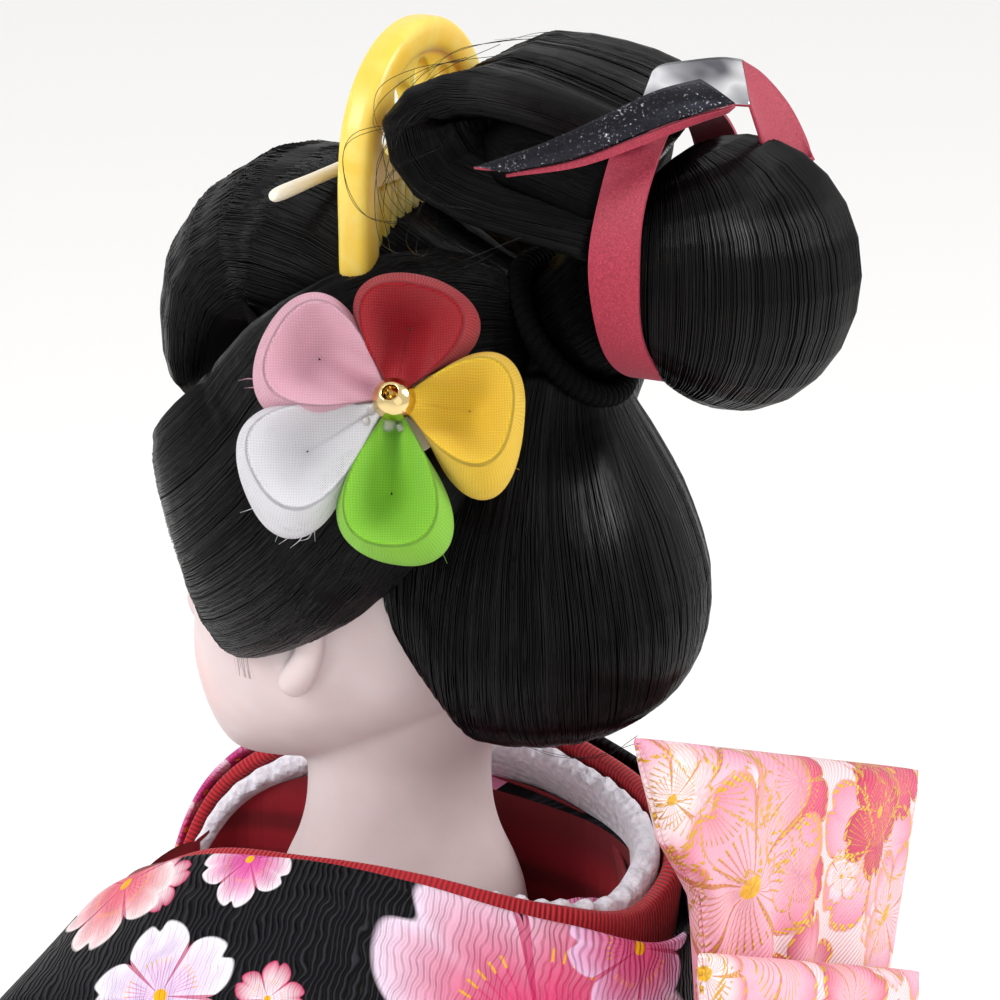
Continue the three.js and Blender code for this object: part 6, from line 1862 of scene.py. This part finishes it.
def sleeveRings(hand, inset=0.0, start=0.0, past=0.0, rows=110, columns=112):
    ts = start + (1 - start) * np.linspace(0, 1, rows)
    path = [(hand * x, y, 0) for x, y in sleeveRoute]
    centre, along = alongCurve(path, ts), tangents(path, ts)
    centre[-1] += along[-1] * past
    across = np.stack([along[:, 1], -along[:, 0], 0 * ts], axis=1)
    slice_ = [(a, b, 0) for a, b in sleeveSlice]
    ring = alongCurve(slice_[-2:] + slice_ + slice_[:3], (2 + 14 * np.arange(columns) / columns) / 18)
    a, b = ring[None, :, 0], np.clip(ring[None, :, 1], 0, 1)
    top, bottom = (alongList(v, ts)[:, None] for v in (sleeveTop, sleeveBottom))
    half = alongList(sleeveHalf, ts)[:, None] - inset
    drop = 1 - b
    fold = 1.5 * drop * np.sin(9 * ts[:, None] + 2.4 * drop) + 0.7 * drop * np.sin(23 * ts[:, None] + 1)
    flat = centre[:, None] + across[:, None] * (a * half + fold)[..., None]
    flat[..., 2] = bottom + inset + (top - bottom - 2 * inset) * b
    return flat


sleeveCrepe = printedCrepe("printed_crepe_of_the_sleeves", "X")
for side, hand in (("left", 1), ("right", -1)):
    sleeve = loft(f"sleeve_{side}_cloth", sleeveRings(hand), sleeveCrepe, inMm=True)
    dressed(sleeve, "figure", "printed_crepe", f"sleeve_{side}")
    cuff = loft(f"under_sleeve_{side}_silk", sleeveRings(hand, 1.5, 0.9, 1.6, 24), deepRed, inMm=True)
    dressed(cuff, "figure", "deep_red_silk", f"under_sleeve_{side}")
print("skirt and sleeves hung")


# Hands: small, closed-fingered, with the same white finish as the face
def handParts(hand):
    def limb(path, width, thick, rows=30, columns=24):
        form = {
            "path": [(hand * x, y, z) for x, y, z in path], "side": [(0, 0.2, 1)] * len(path),
            "width": width, "outer": thick,
            "inner": thick, "startRound": 0.05, "endRound": 0.25,
        }
        return loft("hand_form", lockRings(form, rows, columns), handSkin)

    palm = [(32.4, -41.2, -83.6), (26.6, -47.6, -85.2), (22, -51.6, -86.6), (18.4, -53.8, -87.8)]
    parts = [limb(palm, [2.7, 3, 4, 3.6], [2.2, 2.1, 1.9, 1.5])]
    for i, reach in enumerate((9.4, 10.6, 10, 8.2)):
        z = -84.9 - i * 1.95
        path = [(20.4, -52.9, z), (20.4 - reach * 0.55, -55.2, z - 1.1), (20.4 - reach, -55.4, z - 2.2)]
        parts.append(limb(path, [1.15, 1.15, 0.85], [1.15, 1.15, 0.85]))
    parts.append(
        limb([(25.6, -48.6, -82.8), (22, -52.8, -81.4), (17.6, -55.4, -82.2)], [1.7, 1.4, 1], [1.7, 1.4, 1])
    )
    return parts


for side, hand in (("left", 1), ("right", -1)):
    dressed(fused(f"hand_{side}_skin", handParts(hand), 0.22, 3), "figure", "gofun", f"hand_{side}")


# Board: black gloss lacquer over wood, a rounded moulded edge, a faint swell and a soft reflection
def lacquer():
    finish, tree, shader = newFinish(
        "black_gloss_lacquer", Base_Color="#0b0a0a", Roughness=0.12, Coat_Weight=0.6, Coat_Roughness=0.05,
    )
    spot = objectPlace(tree)
    swell = noise(tree, spot, 60.0, 1.0)
    bumped(tree, shader, swell, 0.05, 0.4)
    return finish


board = {"width": 200, "depth": 164, "low": ground - 20, "high": ground, "corner": 9, "edge": 2.4}


def boardRings(columns=160):
    turn = turns(columns)
    r = board["corner"]
    w, d = board["width"] / 2 - r, board["depth"] / 2 - r
    c, s = np.cos(turn), np.sin(turn)
    x, y = np.sign(c) * w + r * c, np.sign(s) * d + r * s
    rings = []
    for level, up in ((board["low"], -1), (board["high"], 1)):
        bends = np.linspace(np.pi / 2, 0, 8) if up < 0 else np.linspace(0, np.pi / 2, 8)
        for a in bends:
            inset = board["edge"] * (1 - math.cos(a))
            z = level - up * board["edge"] * (1 - math.sin(a))
            k = (r - inset) / r
            rings.append(
                np.stack(
                    [np.sign(c) * w + r * c * k, np.sign(s) * d + r * s * k, np.full(columns, z)], axis=1,
                )
            )
    return np.array(rings)


boardMesh = loft("base_board_lacquer", boardRings(), lacquer())
modified(boardMesh, "WEIGHTED_NORMAL", keep_sharp=True)
dressed(applied(boardMesh), "figure", "lacquer", "base_board")


# Fittings hidden in the clothes keep their CAD meshes, with a finish for each material
def plainGrain(name, dark, light, stretch, scale, depth, roughness=0.85):
    return grained(name, scale, [(0.3, dark), (0.7, light)], depth, stretch=stretch, Roughness=roughness)


# The arms are wound with red crepe, so nothing pale shows in the sleeves' openings
hiddenFinish = {
    "arm_silk": plainGrain(
        "red_crepe_wound_on_the_arms", "#5f0612", "#8a0f1f", (1, 1, 1), 1800.0, 0.12, 0.7,
    ),
    "bound_straw": plainGrain("bound_straw", "#a5854a", "#cdb377", (1, 1, 0.08), 1400.0, 0.3),
    "steel_wire": newFinish("bright_steel_wire", Base_Color="#9b9da1", Metallic=1.0, Roughness=0.35)[0],
    "sock_cotton": plainGrain("white_cotton_twill", "#dfdedb", "#f5f4f1", (1, 1, 1), 2600.0, 0.08),
    "peg_wood": plainGrain("bare_cypress_wood", "#b7935f", "#d8ba88", (1, 1, 0.1), 900.0, 0.06, 0.7),
    "felt": plainGrain("green_pressed_felt", "#1d2c23", "#2f4436", (1, 1, 1), 3000.0, 0.2, 0.95),
}
hiddenNodes = {
    "bound_straw": ["leg_left", "leg_right", "body_core"], "arm_silk": ["arm_core_left", "arm_core_right"],
    "steel_wire": ["leg_wire_left", "leg_wire_right"], "sock_cotton": ["sock_left", "sock_right"],
    "peg_wood": ["neck_peg"],
    "felt": [f"felt_pad_{i}" for i in range(1, 5)],
}
for key, nodes in hiddenNodes.items():
    for node in nodes:
        mesh = bpy.data.objects[node].data
        mesh.materials.clear()
        mesh.materials.append(hiddenFinish[key])
print("board and fittings finished")
